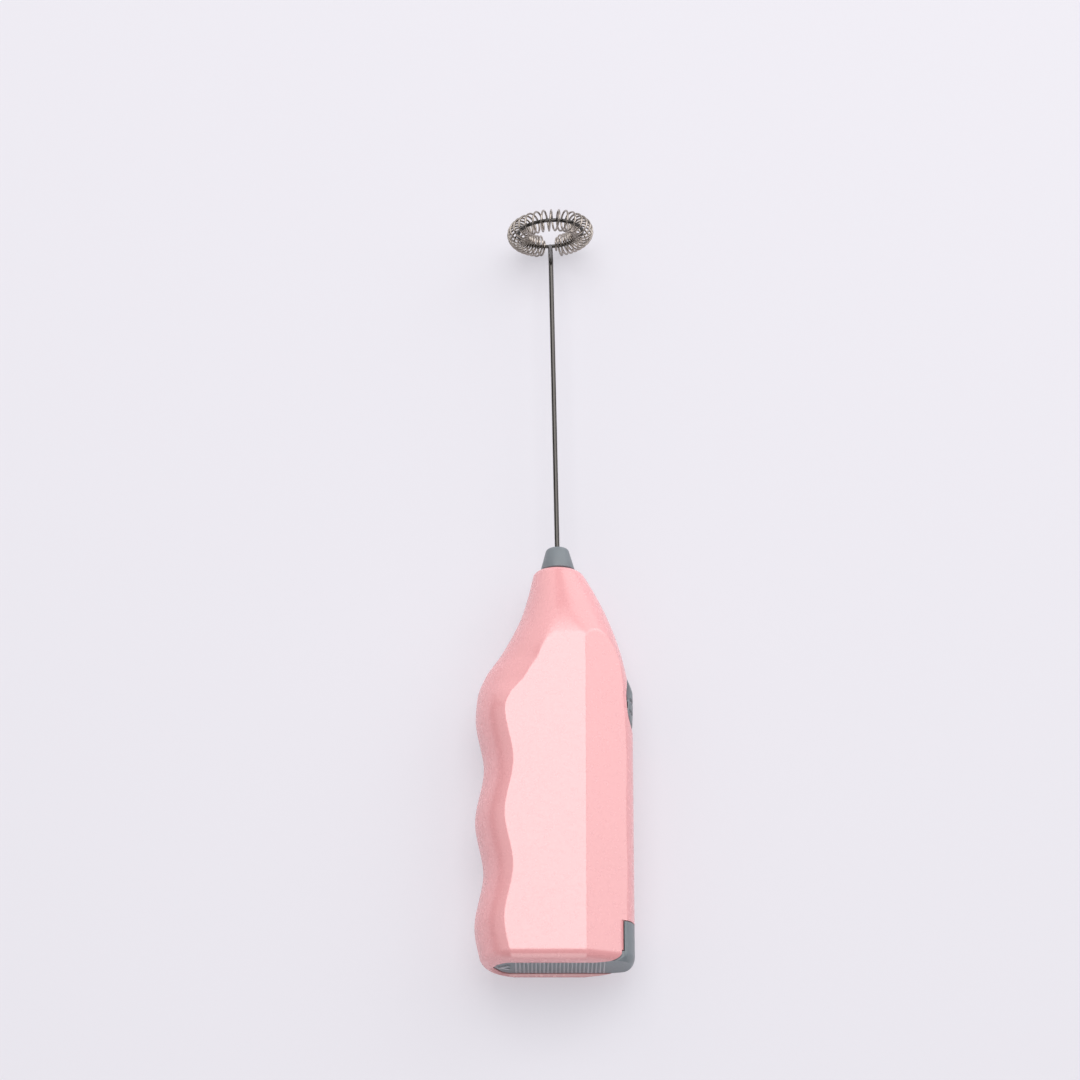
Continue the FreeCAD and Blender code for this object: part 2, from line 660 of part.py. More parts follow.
def commutator():
    ring = cylinder_y(2.5, COMMUTATOR_Y, COMMUTATOR_END)
    ring = ring.cut(cylinder_y(SHAFT_R, COMMUTATOR_Y - 1, COMMUTATOR_END + 1))
    slits = []
    for i in range(3):
        slit = box(1.6, 4, COMMUTATOR_Y - 1, COMMUTATOR_END - 0.8, MID - 0.15, MID + 0.15)
        slit.rotate(V(0, 0, MID), Y, 120 * i)
        slits.append(slit)
    return ring.cut(slits)


# ---------------------------------------------------------------- drive and whisk

def shaft_coupling():
    sleeve = cylinder_y(COUPLING_R, COUPLING_Y, COUPLING_END)
    split = COUPLING_Y + 6.8
    shaft_hole = cylinder_y(SHAFT_R, COUPLING_Y - 1, split)
    return sleeve.cut([shaft_hole, cylinder_y(WIRE_R, split - 1, COUPLING_END + 1)])


def turned(profile, hole):
    """Many-sided body about the shaft axis from (radius, y) points, with a round hole through it."""
    angles = [math.tau * k / TURNED_SIDES for k in range(TURNED_SIDES)]
    body = skin([[V(r * math.cos(a), y, MID + r * math.sin(a)) for a in angles] for r, y in profile])
    return body.cut(cylinder_y(hole, profile[0][1] - 1, profile[-1][1] + 1))


def nose_bush():
    """Bearing in the nose, with a flange inside the wall."""
    return turned([(4.6, NOSE_WALL_Y - 1.2), (4.6, NOSE_WALL_Y), (NOSE_HOLE_R, NOSE_WALL_Y),
                   (NOSE_HOLE_R, NOSE_END - 0.5)], COUPLING_R + 0.08)


def whisk_hub():
    """Soft cone on the wire that covers the nose hole, with a stub that runs in the bush."""
    top = HUB_Y + HUB_L
    return turned([(COUPLING_R, COUPLING_END), (COUPLING_R, HUB_Y), (HUB_R, HUB_Y), (3.0, top - 1.0),
                   (2.3, top)], WIRE_R)


def whisk_shaft():
    """Straight wire that leaves the axis in one bend and runs out to the rim of the hoop."""
    start = V(0, COUPLING_Y + 6.8, MID)
    bend = V(0, BEND_Y, MID)
    rim = V(0, RING_Y, MID - RING_R)
    out = (rim - bend).normalize()
    turn = out.getAngle(Y)
    reach = BEND_R * math.tan(turn / 2)
    centre = bend - Y * reach + V(0, 0, -BEND_R)
    points = [start]
    for i in range(BEND_STEPS + 1):
        a = turn * i / BEND_STEPS
        points.append(centre + V(0, BEND_R * math.sin(a), BEND_R * math.cos(a)))
    points.append(rim)
    return wire_along(points, WIRE_R, 12)


def tilted(shape):
    """The ring turned out of square to the shaft."""
    piece = shape.copy()
    piece.rotate(V(0, RING_Y, MID), Z, RING_TILT)
    return piece


def whisk_hoop():
    outward = []
    for i in range(HOOP_STEPS):
        a = 2 * math.pi * i / HOOP_STEPS
        outward.append(V(math.sin(a), 0, math.cos(a)))
    points = [V(0, RING_Y, MID) + direction * RING_R for direction in outward]
    return tilted(wire_along(points, HOOP_R, 6, outward, True))


def whisk_coil():
    """Spring wire that runs round the hoop as a coil bent into a ring, open where the shaft comes in."""
    count = COIL_TURNS * COIL_STEPS
    tight = HOOP_R + COIL_WIRE_R - 0.1
    points = []
    outward = []
    for i in range(count + 1):
        share = i / count
        uneven = share - COIL_CLOSER * math.sin(2 * math.pi * share) / (2 * math.pi)
        around = math.pi + COIL_GAP + 2 * (math.pi - COIL_GAP) * uneven
        a = 2 * math.pi * i / COIL_STEPS
        # each end of the wire is wound down onto the hoop in one turn
        wound = min(i, count - i, COIL_STEPS) / COIL_STEPS
        radial = V(math.sin(around), 0, math.cos(around))
        from_hoop = radial * math.cos(a) + Y * math.sin(a)
        points.append(V(0, RING_Y, MID) + radial * RING_R + from_hoop * (tight + (COIL_R - tight) * wound))
        outward.append(from_hoop)
    return tilted(wire_along(points, COIL_WIRE_R, COIL_SIDES, outward))


# ---------------------------------------------------------------- leads

def lead(points):
    """Thin insulated lead along straight runs, with its corners cut."""
    path = [points[0]]
    for before, corner, after in zip(points, points[1:], points[2:]):
        path.append(corner + (before - corner).normalize() * 0.6)
        path.append(corner + (after - corner).normalize() * 0.6)
    return wire_along(path + points[-1:], 0.5, 6)


def lead_positive():
    """From the positive contact through the bulkhead to the switch."""
    side = 13.1
    return lead([V(-CELL_X, BULKHEAD_Y, LEAD_HIGH_Z), V(-CELL_X, LEAD_Y, LEAD_HIGH_Z),
                 V(side, LEAD_Y, LEAD_HIGH_Z), V(side, SWITCH_Y - 7.2, LEAD_HIGH_Z)])


def lead_negative():
    """From the spring's foot through the bulkhead to the near motor terminal."""
    end_x = TERMINAL_X + TERMINAL_LEAN
    return lead([V(CELL_X, BULKHEAD_Y, LEAD_LOW_Z), V(CELL_X, LEAD_Y, LEAD_LOW_Z),
                 V(end_x, LEAD_Y, MID + 3.75)])


def lead_switch():
    """From the switch along the motor's side and under its bearing to the far terminal."""
    side = 12.1
    low = MID - 6.3
    end_x = TERMINAL_LEAN - TERMINAL_X
    return lead([V(side, SWITCH_Y + 6.0, low), V(side, LEAD_Y, low), V(end_x, LEAD_Y, low),
                 V(end_x, LEAD_Y, MID + 2.95)])


# ---------------------------------------------------------------- shells

BOSSES = [(-14.0, 63.5), (-13.2, 73.0), (7.0, 92.2), (-6.2, 92.2)]
BOSS_R = 1.8
PIN_R = 1.0
CRADLE_YS = (14.0, 44.0)
SADDLE_YS = (64.2, 82.6)


def octagon_post(radius, x, y, z0, z1):
    """Eight-sided locating post, or the hole for one."""
    corners = [math.radians(22.5 + 45 * i) for i in range(8)]
    return plate([(x + radius * math.cos(a), y + radius * math.sin(a)) for a in corners], z0, z1)


def shell_ribs(cavity):
    """Ribs of the lower half: cradles for the cells, saddles for the motor, all trimmed to the cavity."""
    ribs = []
    for y in CRADLE_YS:
        rib = box(-22, 22, y, y + 1.2, 0, MID - 3.0)
        rib = rib.cut([bore(CELL_R + 0.1, y - 1, y + 3, x) for x in (-CELL_X, CELL_X)])
        ribs.append(rib)
    for y in SADDLE_YS:
        rib = box(-22, 22, y, y + 1.4, 0, MID - 1.0)
        rib = rib.cut([motor_bore(0.0, y - 2, y + 4), box(10.7, 22, y - 1, y + 3, 4.5, 20)])
        ribs.append(rib)
    for x, y in BOSSES:
        ribs.append(octagon_post(BOSS_R, x, y, 0, MID))
    return [rib.common(cavity) for rib in ribs]


def shells(outside):
    """The two halves of the handle: front (upper) and back (lower, on the table)."""
    cavity = handle_form(WALL, END_WALL, NOSE_WALL_Y)
    trim = handle_form(WALL - 0.6, 1.0, NOSE_WALL_Y + 0.8)
    nose_hole = cylinder_y(NOSE_HOLE_R, NOSE_WALL_Y - 1, NOSE_END + 1)
    nose_seat = cylinder_y(4.8, NOSE_WALL_Y - 3, NOSE_WALL_Y + 0.05)
    motor_room = motor_bore(0.15, MOTOR_Y, MOTOR_END + 0.3)
    pad = Part.makeBox(6.0, 24.5, 17.0, V(PAD_IN, -9.2, -8.5))
    pad = on_spine(pad).common(trim)
    hollow = outside.cut([cavity, motor_room, leaned(nose_hole.fuse(nose_seat))])
    hollow = hollow.fuse(pad).cut([slider_pocket(), door_space()])
    ribs = shell_ribs(trim)
    rest, other_rest = [r.common(trim) for r in hook_rests()]
    back = hollow.common(box(-40, 40, -5, 120, -5, MID)).fuse(ribs + [other_rest])
    front = hollow.common(box(-40, 40, -5, 120, MID, 40)).fuse([mirrored(r) for r in ribs] + [rest])
    pins = [octagon_post(PIN_R, x, y, MID - 0.5, MID + 3.0) for x, y in BOSSES]
    holes = [octagon_post(PIN_R + 0.05, x, y, MID, MID + 3.5) for x, y in BOSSES]
    return front.cut(holes), back.fuse(pins)


def terminal_bulkhead():
    """Wall between the cells and the motor, with a notch for each lead."""
    wall = handle_form(WALL, BULKHEAD_Y, BULKHEAD_Y + BULKHEAD_T)
    notches = []
    for x, z in ((-CELL_X, LEAD_HIGH_Z), (CELL_X, LEAD_LOW_Z)):
        notches.append(box(x - 0.8, x + 0.8, BULKHEAD_Y - 1, BULKHEAD_Y + 3, z - 0.8, z + 0.8))
    return wall.cut(notches)


# ---------------------------------------------------------------- output

# everything that lies on the leaning axis
ON_AXIS = ("motor_can", "motor_end_cap", "motor_terminals", "motor_magnets", "motor_bush_front",
           "motor_bush_rear", "motor_brushes", "rotor_core", "rotor_windings", "commutator", "motor_shaft",
           "shaft_coupling", "nose_bush", "whisk_hub", "whisk_shaft", "whisk_hoop", "whisk_coil")


def build():
    outside = outer_form()
    raised = handle_form(-SLIDER_RISE, 50, 90)
    front, back = shells(outside)
    parts = {
        "front_shell": front,
        "back_shell": back,
        "battery_door": battery_door(outside),
        "door_contact_plate": door_contact_plate(),
        "switch_slider": switch_slider(raised),
        "switch_bridge": switch_bridge(),
        "switch_base": switch_base(),
        "switch_contact_battery": switch_contact(-8.7, -1.6, -3.2, BATTERY_TAB),
        "switch_contact_motor": switch_contact(1.6, 9.4, 5.2, MOTOR_TAB),
        "terminal_bulkhead": terminal_bulkhead(),
        "battery_spring_negative": battery_spring(),
        "battery_contact_positive": battery_contact_positive(),
        "aa_cell_1": aa_cell(-CELL_X, True),
        "aa_cell_2": aa_cell(CELL_X, False),
        "motor_can": motor_can(),
        "motor_end_cap": motor_end_cap(),
        "motor_terminals": motor_terminals(),
        "motor_magnets": motor_magnets(),
        "motor_bush_front": motor_bush(3.0, MOTOR_END - CAP_T, MOTOR_END + 1.4),
        "motor_bush_rear": motor_bush(2.5, MOTOR_Y - 0.4, MOTOR_Y + 2.2),
        "motor_brushes": motor_brushes(),
        "rotor_core": rotor_core(),
        "rotor_windings": rotor_windings(),
        "commutator": commutator(),
        "motor_shaft": cylinder_y(SHAFT_R, 60.9, COUPLING_Y + 6.8),
        "shaft_coupling": shaft_coupling(),
        "nose_bush": nose_bush(),
        "whisk_hub": whisk_hub(),
        "whisk_shaft": whisk_shaft().cut(whisk_hoop()),
        "whisk_hoop": whisk_hoop(),
        "whisk_coil": whisk_coil(),
        "lead_positive": lead_positive(),
        "lead_negative": lead_negative(),
        "lead_switch": lead_switch(),
    }
    os.makedirs("parts", exist_ok=True)
    for name, shape in parts.items():
        if isinstance(shape, list):
            shape = Part.makeCompound(shape)
        shape = leaned(shape) if name in ON_AXIS else shape.copy()
        shape.translate(V(X_SHIFT, Y_SHIFT, 0))
        shape.exportStep(f"parts/{name}.step")
        print(name, len(shape.Solids), round(shape.Volume, 2), shape.isValid())


build()
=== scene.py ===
import json
import math

import bmesh
import bpy
import numpy as np
from mathutils import Matrix, Vector


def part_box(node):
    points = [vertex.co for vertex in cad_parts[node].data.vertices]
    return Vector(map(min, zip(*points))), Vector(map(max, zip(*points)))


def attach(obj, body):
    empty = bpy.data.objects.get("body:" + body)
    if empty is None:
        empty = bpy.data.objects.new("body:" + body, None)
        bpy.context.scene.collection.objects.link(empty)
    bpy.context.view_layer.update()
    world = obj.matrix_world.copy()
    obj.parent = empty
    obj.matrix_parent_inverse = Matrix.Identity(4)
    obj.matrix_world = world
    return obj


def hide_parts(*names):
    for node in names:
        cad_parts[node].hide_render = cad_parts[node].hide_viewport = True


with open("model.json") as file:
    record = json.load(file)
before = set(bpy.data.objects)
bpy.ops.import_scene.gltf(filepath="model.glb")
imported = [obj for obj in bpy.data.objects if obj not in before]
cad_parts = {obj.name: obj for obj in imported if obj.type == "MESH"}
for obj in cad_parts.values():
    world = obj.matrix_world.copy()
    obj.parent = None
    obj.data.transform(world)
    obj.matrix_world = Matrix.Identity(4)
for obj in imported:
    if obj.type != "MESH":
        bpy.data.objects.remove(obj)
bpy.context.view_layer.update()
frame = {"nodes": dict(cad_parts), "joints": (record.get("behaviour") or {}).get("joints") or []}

# ---------------------------------------------------------------- places, from the frame
# Pieces are drawn in millimetres: x from the shaft axis, y from the handle's bottom end, z from the floor.
MM = 0.001


def joint(name):
    return next(j for j in frame["joints"] if j["name"] == name)


def tilt_of(axis):
    """Angle of an axis from the y direction, anticlockwise seen from above."""
    return math.atan2(-axis[0], axis[1])


SPIN = joint("whisk_spin")
SLIDE = joint("switch_slide")
AXIS_X = SPIN["pos_m"][0]
BOTTOM_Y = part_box("front_shell")[0][1]
MID = SPIN["pos_m"][2] / MM                     # height of the plane where the two halves meet
NOSE_END = (SPIN["pos_m"][1] - BOTTOM_Y) / MM
LEAN = tilt_of(SPIN["axis"])                    # of the motor and whisk axis
SPINE_TILT = tilt_of(SLIDE["axis"])             # of the thumb side at the switch
TRAVEL = SLIDE["range_m"][1] / MM
# the door's lowest and highest place: the crests of its ribs and the end of its leg
DOOR_RIB_Y, DOOR_LEG_Y = [(corner[1] - BOTTOM_Y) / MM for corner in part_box("battery_door")]

HAIR = 0.001             # keeps two solids from sharing a plane
OUT_X = 30.0             # well outside the thumb side
ROUND_STEPS = 96         # facets of a round solid

# ---------------------------------------------------------------- the handle's form
THUMB_X = 19.1           # straight thumb side
THUMB_BEND_Y = 59.8      # where the thumb side starts to curve to the nose
THUMB_BEND_R = 82.5
CREST_X = -21.05         # finger grip, crests and valleys of the wave
VALLEY_X = -18.9
FIRST_CREST_Y = 10.6
HALF_WAVE = 13.55
NOSE_R = 6.1
END_EDGE_R = 3.0         # rounded edges of the bottom end and of the nose
NOSE_EDGE_R = 1.5
FACET_X = 7.0            # crease between the flat face and the sloped facet
FACET_SLOPE = math.tan(math.radians(25.7))
CREASE = 0.12            # blend at the creases
SEAM = 0.1               # chamfer of each half along the parting line
ARC_POINTS = 260         # of each of a section's two curves, before its points are spread
TURN_WEIGHT = 1.3        # how much the points gather where a section turns
COLUMNS = 104            # points of the outer skin from the finger side to the thumb side

WALL = 2.0
PAD_INSET = 1.4          # inset of the form that trims the pads and rests inside the wall
CAVITY_Y = 4.0           # inner face of the end wall
NOSE_WALL_Y = 97.2
NOSE_HOLE_R = 3.8
NOSE_SEAT_R = 4.8
MOTOR_Y = 61.2
MOTOR_END = 86.2
MOTOR_R = 10.05
MOTOR_FLAT = 7.6
MOTOR_GAP = 0.15

# battery door: a strip with a pointed tip in the bottom end, and a leg that turns up the thumb side
DOOR_HALF = 7.5
DOOR_TIP_X = -16.2
DOOR_FULL_X = -11.8      # where the strip reaches its full width
TIP_SHOULDER = 0.42      # share of the tip's length where its sides bend
TIP_WIDTH = 0.7          # share of the full width that the tip has there
DOOR_DEPTH = DOOR_RIB_Y + 0.4
DOOR_PLATE_END = 3.2
DOOR_GAP = 0.25
COVER_PLAY = 0.2         # how much the cover's sides stand back from that half width
LEG_X = THUMB_X - 2.7    # inner face of the leg
SLOT_HALF = DOOR_HALF + DOOR_GAP
SLOT_TIP_X = DOOR_TIP_X - DOOR_GAP
SLOT_FULL_X = DOOR_FULL_X - DOOR_GAP
SLOT_LEG_X = LEG_X - DOOR_GAP
ROOM_END_X = 15.5        # behind the strip the slot opens into the cavity
ROOM_END_Y = 5.0
LIP = 0.55               # chamfer round the slot's mouth
LIP_OUT = 0.2            # how far its cutter starts below the end face
LIP_TIP = 1.6            # how many times longer the chamfer is at the tip
LEG_LIP_LOW = 7.2        # chamfer beside the leg, as heights over the middle plane
LEG_LIP_HIGH = 8.1
LEG_LIP_RUN = 0.7
TONGUE_X = -17.8         # tongue at the door's tip, behind the end wall
TONGUE_ROOT_X = DOOR_TIP_X + 2
TONGUE_Y = 2.0
TONGUE_HALF = 3.0
HOOK_X = 14.9            # two hooks on the leg lie on two rests of the handle
HOOK_Y = 7.0
HOOK_T = 1.2
HOOK_SPAN = (2.2, 4.3)   # heights over the middle plane
REST_T = 1.4
REST_SPAN = (2.8, 8.0)
REST_GAP = 0.3
RIB_FIRST_X = -10.55
RIB_PITCH = 1.0
RIB_COUNT = 23
RIB_R = 0.27
RIB_HALF = 6.9
RIB_SEAT = 0.12          # depth in the strip's face
RIB_RISE = 0.38          # height over it

# thumb switch
SWITCH_Y = 69.5
SLIDER_R = 5.9
SLIDER_CENTRE = -3.5
SLIDER_TIP = 7.5
SLIDER_BOTTOM = SLIDER_CENTRE - SLIDER_R
# angle from the tip's direction at which the round end meets the straight sides
SLIDER_TURN = math.acos(SLIDER_R / (SLIDER_TIP - SLIDER_CENTRE))
SLIDER_LOW = -0.35       # height of the slider's face over the spine, at the bottom end
SLIDER_TIP_LOW = -0.1    # at the tip
SLIDER_RISE = 0.8        # and at its highest place
SLIDER_PEAK = SLIDER_BOTTOM + 11.1      # its place along the slider
SLIDER_EDGE_R = 0.35
SLIDER_FLOOR = -1.0
GROOVE_FIRST = 2.25
GROOVE_PITCH = 3.1
GROOVE_COUNT = 3
GROOVE_HALF = 0.6
GROOVE_DEPTH = 0.45
GROOVE_STEEP = 2.2       # a groove's flanks take up one part in this of its half width
STEM_END = -4.3
STEM_HALF_Y = 2.0
STEM_HALF_Z = 1.5
STEM_SLOT_REACH = 6.0
POCKET_GAP = 0.35
POCKET_OUT = 8.0         # reach of the pocket's cutters
PAD_X = (-3.2, 2.8)      # thicker wall round the switch
PAD_Y = (-9.2, 15.3)
PAD_HALF = 8.5

# whisk
WIRE_R = 0.63
SHAFT_START_Y = 95.2     # inside the nose
HUB_Y = NOSE_END + 0.36  # base of the cone, just clear of the nose
HUB_END = NOSE_END + 6.5
HUB_BASE_R = 4.42
HUB_BASE_EDGE = 0.3
HUB_RECESS_R = 2.4
HUB_TOP_R = 3.1
HUB_TOP_EDGE = 1.25
RING_Y = NOSE_END + 96.1
RING_R = 8.6
RING_TILT = math.radians(2.4)
RING_CENTRE = (0, RING_Y, MID)
HOOP_R = 0.5
COIL_R = 2.74
COIL_WIRE_R = 0.27
COIL_TURNS = 34
COIL_GAP = 0.15          # half of the angle that the coil leaves open for the shaft
COIL_CLOSER = 0.2        # how much closer than the mean its turns lie beside the shaft
BEND_Y = NOSE_END + 88.0
BEND_R = 5.0


# ---------------------------------------------------------------- mesh helpers

def new_object(name, data):
    obj = bpy.data.objects.new(name, data)
    bpy.context.scene.collection.objects.link(obj)
    return obj


def place(point):
    """A point in drawing millimetres, as a point in the frame."""
    return Vector((AXIS_X + point[0] * MM, BOTTOM_Y + point[1] * MM, point[2] * MM))


def weld(mesh, distance, drop_slivers=False):
    """Joins points that are closer than a distance in metres, and turns the faces outwards."""
    work = bmesh.new()
    work.from_mesh(mesh)
    bmesh.ops.remove_doubles(work, verts=work.verts, dist=distance)
    if drop_slivers:
        bmesh.ops.dissolve_degenerate(work, dist=1e-7, edges=work.edges)
    bmesh.ops.recalc_face_normals(work, faces=work.faces)
    work.to_mesh(mesh)
    work.free()


def add_mesh(name, points, faces):
    """A piece from points in drawing millimetres."""
    mesh = bpy.data.meshes.new(name)
    mesh.from_pydata([place(p) for p in points], [], [list(map(int, f)) for f in faces])
    mesh.update()
    weld(mesh, 1e-8)
    return new_object(name, mesh)


def ring_faces(rows, columns):
    """Quads between closed rings of points, without end caps."""
    faces = []
    for r in range(rows - 1):
        for k in range(columns):
            j = (k + 1) % columns
            faces.append((r * columns + k, (r + 1) * columns + k, (r + 1) * columns + j, r * columns + j))
    return faces


def capped(rows, columns):
    """Closed stack of rings with a flat cap at each end."""
    last = (rows - 1) * columns
    return ring_faces(rows, columns) + [range(columns), range(last, last + columns)]


def prism(name, outline, shift):
    """Closed solid from an outline and the same outline moved by shift."""
    far = [Vector(p) + Vector(shift) for p in outline]
    return add_mesh(name, list(outline) + far, capped(2, len(outline)))


def block(name, x0, x1, y0, y1, z0, z1):
    return prism(name, [(x0, y0, z0), (x1, y0, z0), (x1, y1, z0), (x0, y1, z0)], (0, 0, z1 - z0))


def cylinder_y(name, radius, y0, y1):
    """Cylinder about the shaft axis."""
    outline = []
    for i in range(ROUND_STEPS):
        a = 2 * math.pi * i / ROUND_STEPS
        outline.append((radius * math.cos(a), y0, MID + radius * math.sin(a)))
    return prism(name, outline, (0, y1 - y0, 0))


def combine(obj, other, operation):
    """Exact boolean of obj with other, which is used up."""
    modifier = obj.modifiers.new("boolean", "BOOLEAN")
    modifier.operation = operation
    modifier.solver = "EXACT"
    modifier.object = other
    graph = bpy.context.evaluated_depsgraph_get()
    mesh = bpy.data.meshes.new_from_object(obj.evaluated_get(graph))
    obj.modifiers.clear()
    obj.data = mesh
    bpy.data.objects.remove(other)
    return obj


def turned(obj, angle, pivot):
    """The piece turned about an upright line through a point of the drawing."""
    centre = place(pivot)
    turn = Matrix.Translation(centre) @ Matrix.Rotation(angle, 4, "Z") @ Matrix.Translation(-centre)
    obj.data.transform(turn)
    return obj


def leaned(obj):
    """The piece turned to the leaning axis of the motor and the whisk."""
    return turned(obj, LEAN, (0, NOSE_END, MID))


def smooth(obj, angle=28):
    """Smooth shading, with sharp edges over an angle in degrees."""
    obj.data.shade_smooth()
    obj.data.set_sharp_from_angle(angle=math.radians(angle))
    return obj


def bevel(obj, width, segments):
    """Small rounded edges, kept as a modifier. width is in millimetres."""
    modifier = obj.modifiers.new("edges", "BEVEL")
    modifier.width = width * MM
    modifier.segments = segments
    modifier.limit_method = "ANGLE"
    modifier.angle_limit = math.radians(40)
    modifier.harden_normals = True
    return obj


def revolve(name, profile):
    """Ring-shaped solid of revolution about the shaft axis from a closed outline of (radius, y)."""
    points = []
    for i in range(ROUND_STEPS + 1):
        a = 2 * math.pi * i / ROUND_STEPS
        points += [(r * math.cos(a), y, MID + r * math.sin(a)) for r, y in profile]
    return add_mesh(name, points, ring_faces(ROUND_STEPS + 1, len(profile)))


def tube(name, points, radius, closed=False, sides=5):
    """Round wire along points, as a bevelled curve turned into a mesh."""
    curve = bpy.data.curves.new(name, "CURVE")
    curve.dimensions = "3D"
    curve.bevel_depth = radius * MM
    curve.bevel_resolution = sides
    curve.use_fill_caps = not closed
    spline = curve.splines.new("POLY")
    spline.points.add(len(points) - 1)
    for knot, point in zip(spline.points, points):
        knot.co = (*place(point), 1.0)
    spline.use_cyclic_u = closed
    line = new_object(name + "_line", curve)
    graph = bpy.context.evaluated_depsgraph_get()
    mesh = bpy.data.meshes.new_from_object(line.evaluated_get(graph))
    bpy.data.objects.remove(line)
    return smooth(new_object(name, mesh), 60)


# ---------------------------------------------------------------- sections of the handle

def curve_along_y(knots):
    """A smooth curve through (y, value) knots that never overshoots them, as a function of y."""
    lengths = [b[0] - a[0] for a, b in zip(knots, knots[1:])]
    rises = [(b[1] - a[1]) / (b[0] - a[0]) for a, b in zip(knots, knots[1:])]
    slopes = [0.0]
    for i in range(1, len(knots) - 1):
        if rises[i - 1] * rises[i] <= 0:
            slopes.append(0.0)
            continue
        before = 2 * lengths[i] + lengths[i - 1]
        after = lengths[i] + 2 * lengths[i - 1]
        slopes.append((before + after) / (before / rises[i - 1] + after / rises[i]))
    slopes.append(rises[-1])

    def value(y):
        i = 0
        while i < len(lengths) - 1 and y > knots[i + 1][0]:
            i += 1
        t = (y - knots[i][0]) / lengths[i]
        ease = t * t * (3 - 2 * t)
        swing = slopes[i] * t * (1 - t) ** 2 - slopes[i + 1] * t * t * (1 - t)
        return knots[i][1] + (knots[i + 1][1] - knots[i][1]) * ease + lengths[i] * swing

    return value


# Outlines along the handle, as (y, value). FINGER is x of the finger side, BAND the width of the rounded
# band beside it, RISE half of the thickness without the flat face, SPINE_X where the curve to the thumb side
# starts and SQUARENESS how square it is.
WAVE = [(FIRST_CREST_Y + i * HALF_WAVE, VALLEY_X if i % 2 else CREST_X) for i in range(-1, 5)]
SLOPE = [(70.4, -20.6), (75.7, -18.65), (81.1, -14.95), (86.5, -11.9), (91.9, -9.4), (97.3, -7.75)]
FINGER = curve_along_y(WAVE + SLOPE + [(NOSE_END, -NOSE_R)])
BAND = curve_along_y([(-3, 12.3), (64.8, 12.3), (68.7, 14.1), (72.9, 18.5), (77.2, 19.1), (81.4, 15.4),
                      (84.4, 13.3), (91, 10.3), (97.3, 7.9), (NOSE_END, NOSE_R)])
RISE = curve_along_y([(-3, 13), (66.5, 13), (77.4, 12.9), (81.4, 12.5), (84.4, 12.0), (91, 10.5),
                      (97.4, 8.45), (NOSE_END, NOSE_R)])
SPINE_X = curve_along_y([(-3, -8.2), (66.5, -8.2), (77.4, 3.0), (84, 4.5), (91, 1.5), (NOSE_END, 0)])
SQUARENESS = curve_along_y([(-3, 2.8), (77.4, 2.8), (85, 2.5), (NOSE_END, 2)])


def thumb_edge(y):
    """x of the thumb side in the middle plane: straight, then an arc to the nose."""
    run = max(y - THUMB_BEND_Y, 0.0)
    return THUMB_X - (THUMB_BEND_R - math.sqrt(THUMB_BEND_R ** 2 - run ** 2))


def soft_min(a, b, blend):
    """The lower of two heights, blended where they cross."""
    mix = np.maximum(blend - np.abs(a - b), 0.0) / blend
    return np.minimum(a, b) - mix * mix * blend / 4


def end_inset(y):
    """How far the rounded ends of the handle pull the surface in."""
    if y < END_EDGE_R:
        return END_EDGE_R - math.sqrt(max(END_EDGE_R ** 2 - (END_EDGE_R - y) ** 2, 0.0))
    if y > NOSE_END - NOSE_EDGE_R:
        past = y - (NOSE_END - NOSE_EDGE_R)
        return NOSE_EDGE_R - math.sqrt(max(NOSE_EDGE_R ** 2 - past ** 2, 0.0))
    return 0.0


def half_section(y, inset, columns):
    """Points (x, height over the middle plane) from the finger side over the top to the thumb side.

    They lie closer together where the outline turns."""
    left = FINGER(y) + inset
    right = thumb_edge(y) - inset
    rise = RISE(y) - inset
    band = max(BAND(y) - inset, 1.0)
    middle = max(SPINE_X(y), left + band)
    power = 2 / SQUARENESS(y)
    a = np.linspace(0, math.pi / 2, ARC_POINTS)
    back = a[-2::-1]
    x = np.concatenate([left + band * (1 - np.cos(a)), middle + (right - middle) * np.cos(back) ** power])
    h = np.concatenate([rise * np.sin(a), rise * np.abs(np.sin(back)) ** power])
    flat = MID - inset
    facet = flat + (FACET_X - x) * FACET_SLOPE + inset * (1 - 1 / math.cos(math.atan(FACET_SLOPE)))
    h = soft_min(h, soft_min(facet, flat + 0 * x, CREASE), CREASE)
    h = np.maximum(h, 0.0)
    h[0] = 0.0
    h[-1] = 0.0
    steps = np.hypot(np.diff(x), np.diff(h))
    heading = np.unwrap(np.arctan2(np.diff(h), np.diff(x)))
    turns = np.concatenate([[0.0], np.abs(np.diff(heading))])
    share = steps / steps.sum() + TURN_WEIGHT * turns / turns.sum()
    along = np.concatenate([[0.0], np.cumsum(share)])
    even = np.linspace(0, along[-1], columns)
    return list(zip(np.interp(even, along, x), np.interp(even, along, h)))


def stations(y0, y1, step):
    """Places along the handle, closer together where an end is rounded."""
    rows = set(np.round(np.linspace(y0, y1, int((y1 - y0) / step) + 2), 4))
    for i in range(11):
        a = math.pi / 2 * i / 10
        rows.add(round(END_EDGE_R * (1 - math.cos(a)), 4))
        rows.add(round(NOSE_END - NOSE_EDGE_R * (1 - math.sin(a)), 4))
    return [float(y) for y in sorted(rows) if y0 <= y <= y1]


def form_solid(name, inset, y0, y1, outer=False):
    """Closed solid of the handle's form between y0 and y1, inset by a wall.

    The outer form is finer and has rounded ends."""
    columns = COLUMNS if outer else 60
    rows = stations(y0, y1, 0.5 if outer else 1.2)
    points = []
    for y in rows:
        section = half_section(y, inset + (end_inset(y) if outer else 0.0), columns)
        points += [(x, y, MID + h) for x, h in section]
        points += [(x, y, MID - h) for x, h in section[-2:0:-1]]
    return add_mesh(name, points, capped(len(rows), 2 * columns - 2))


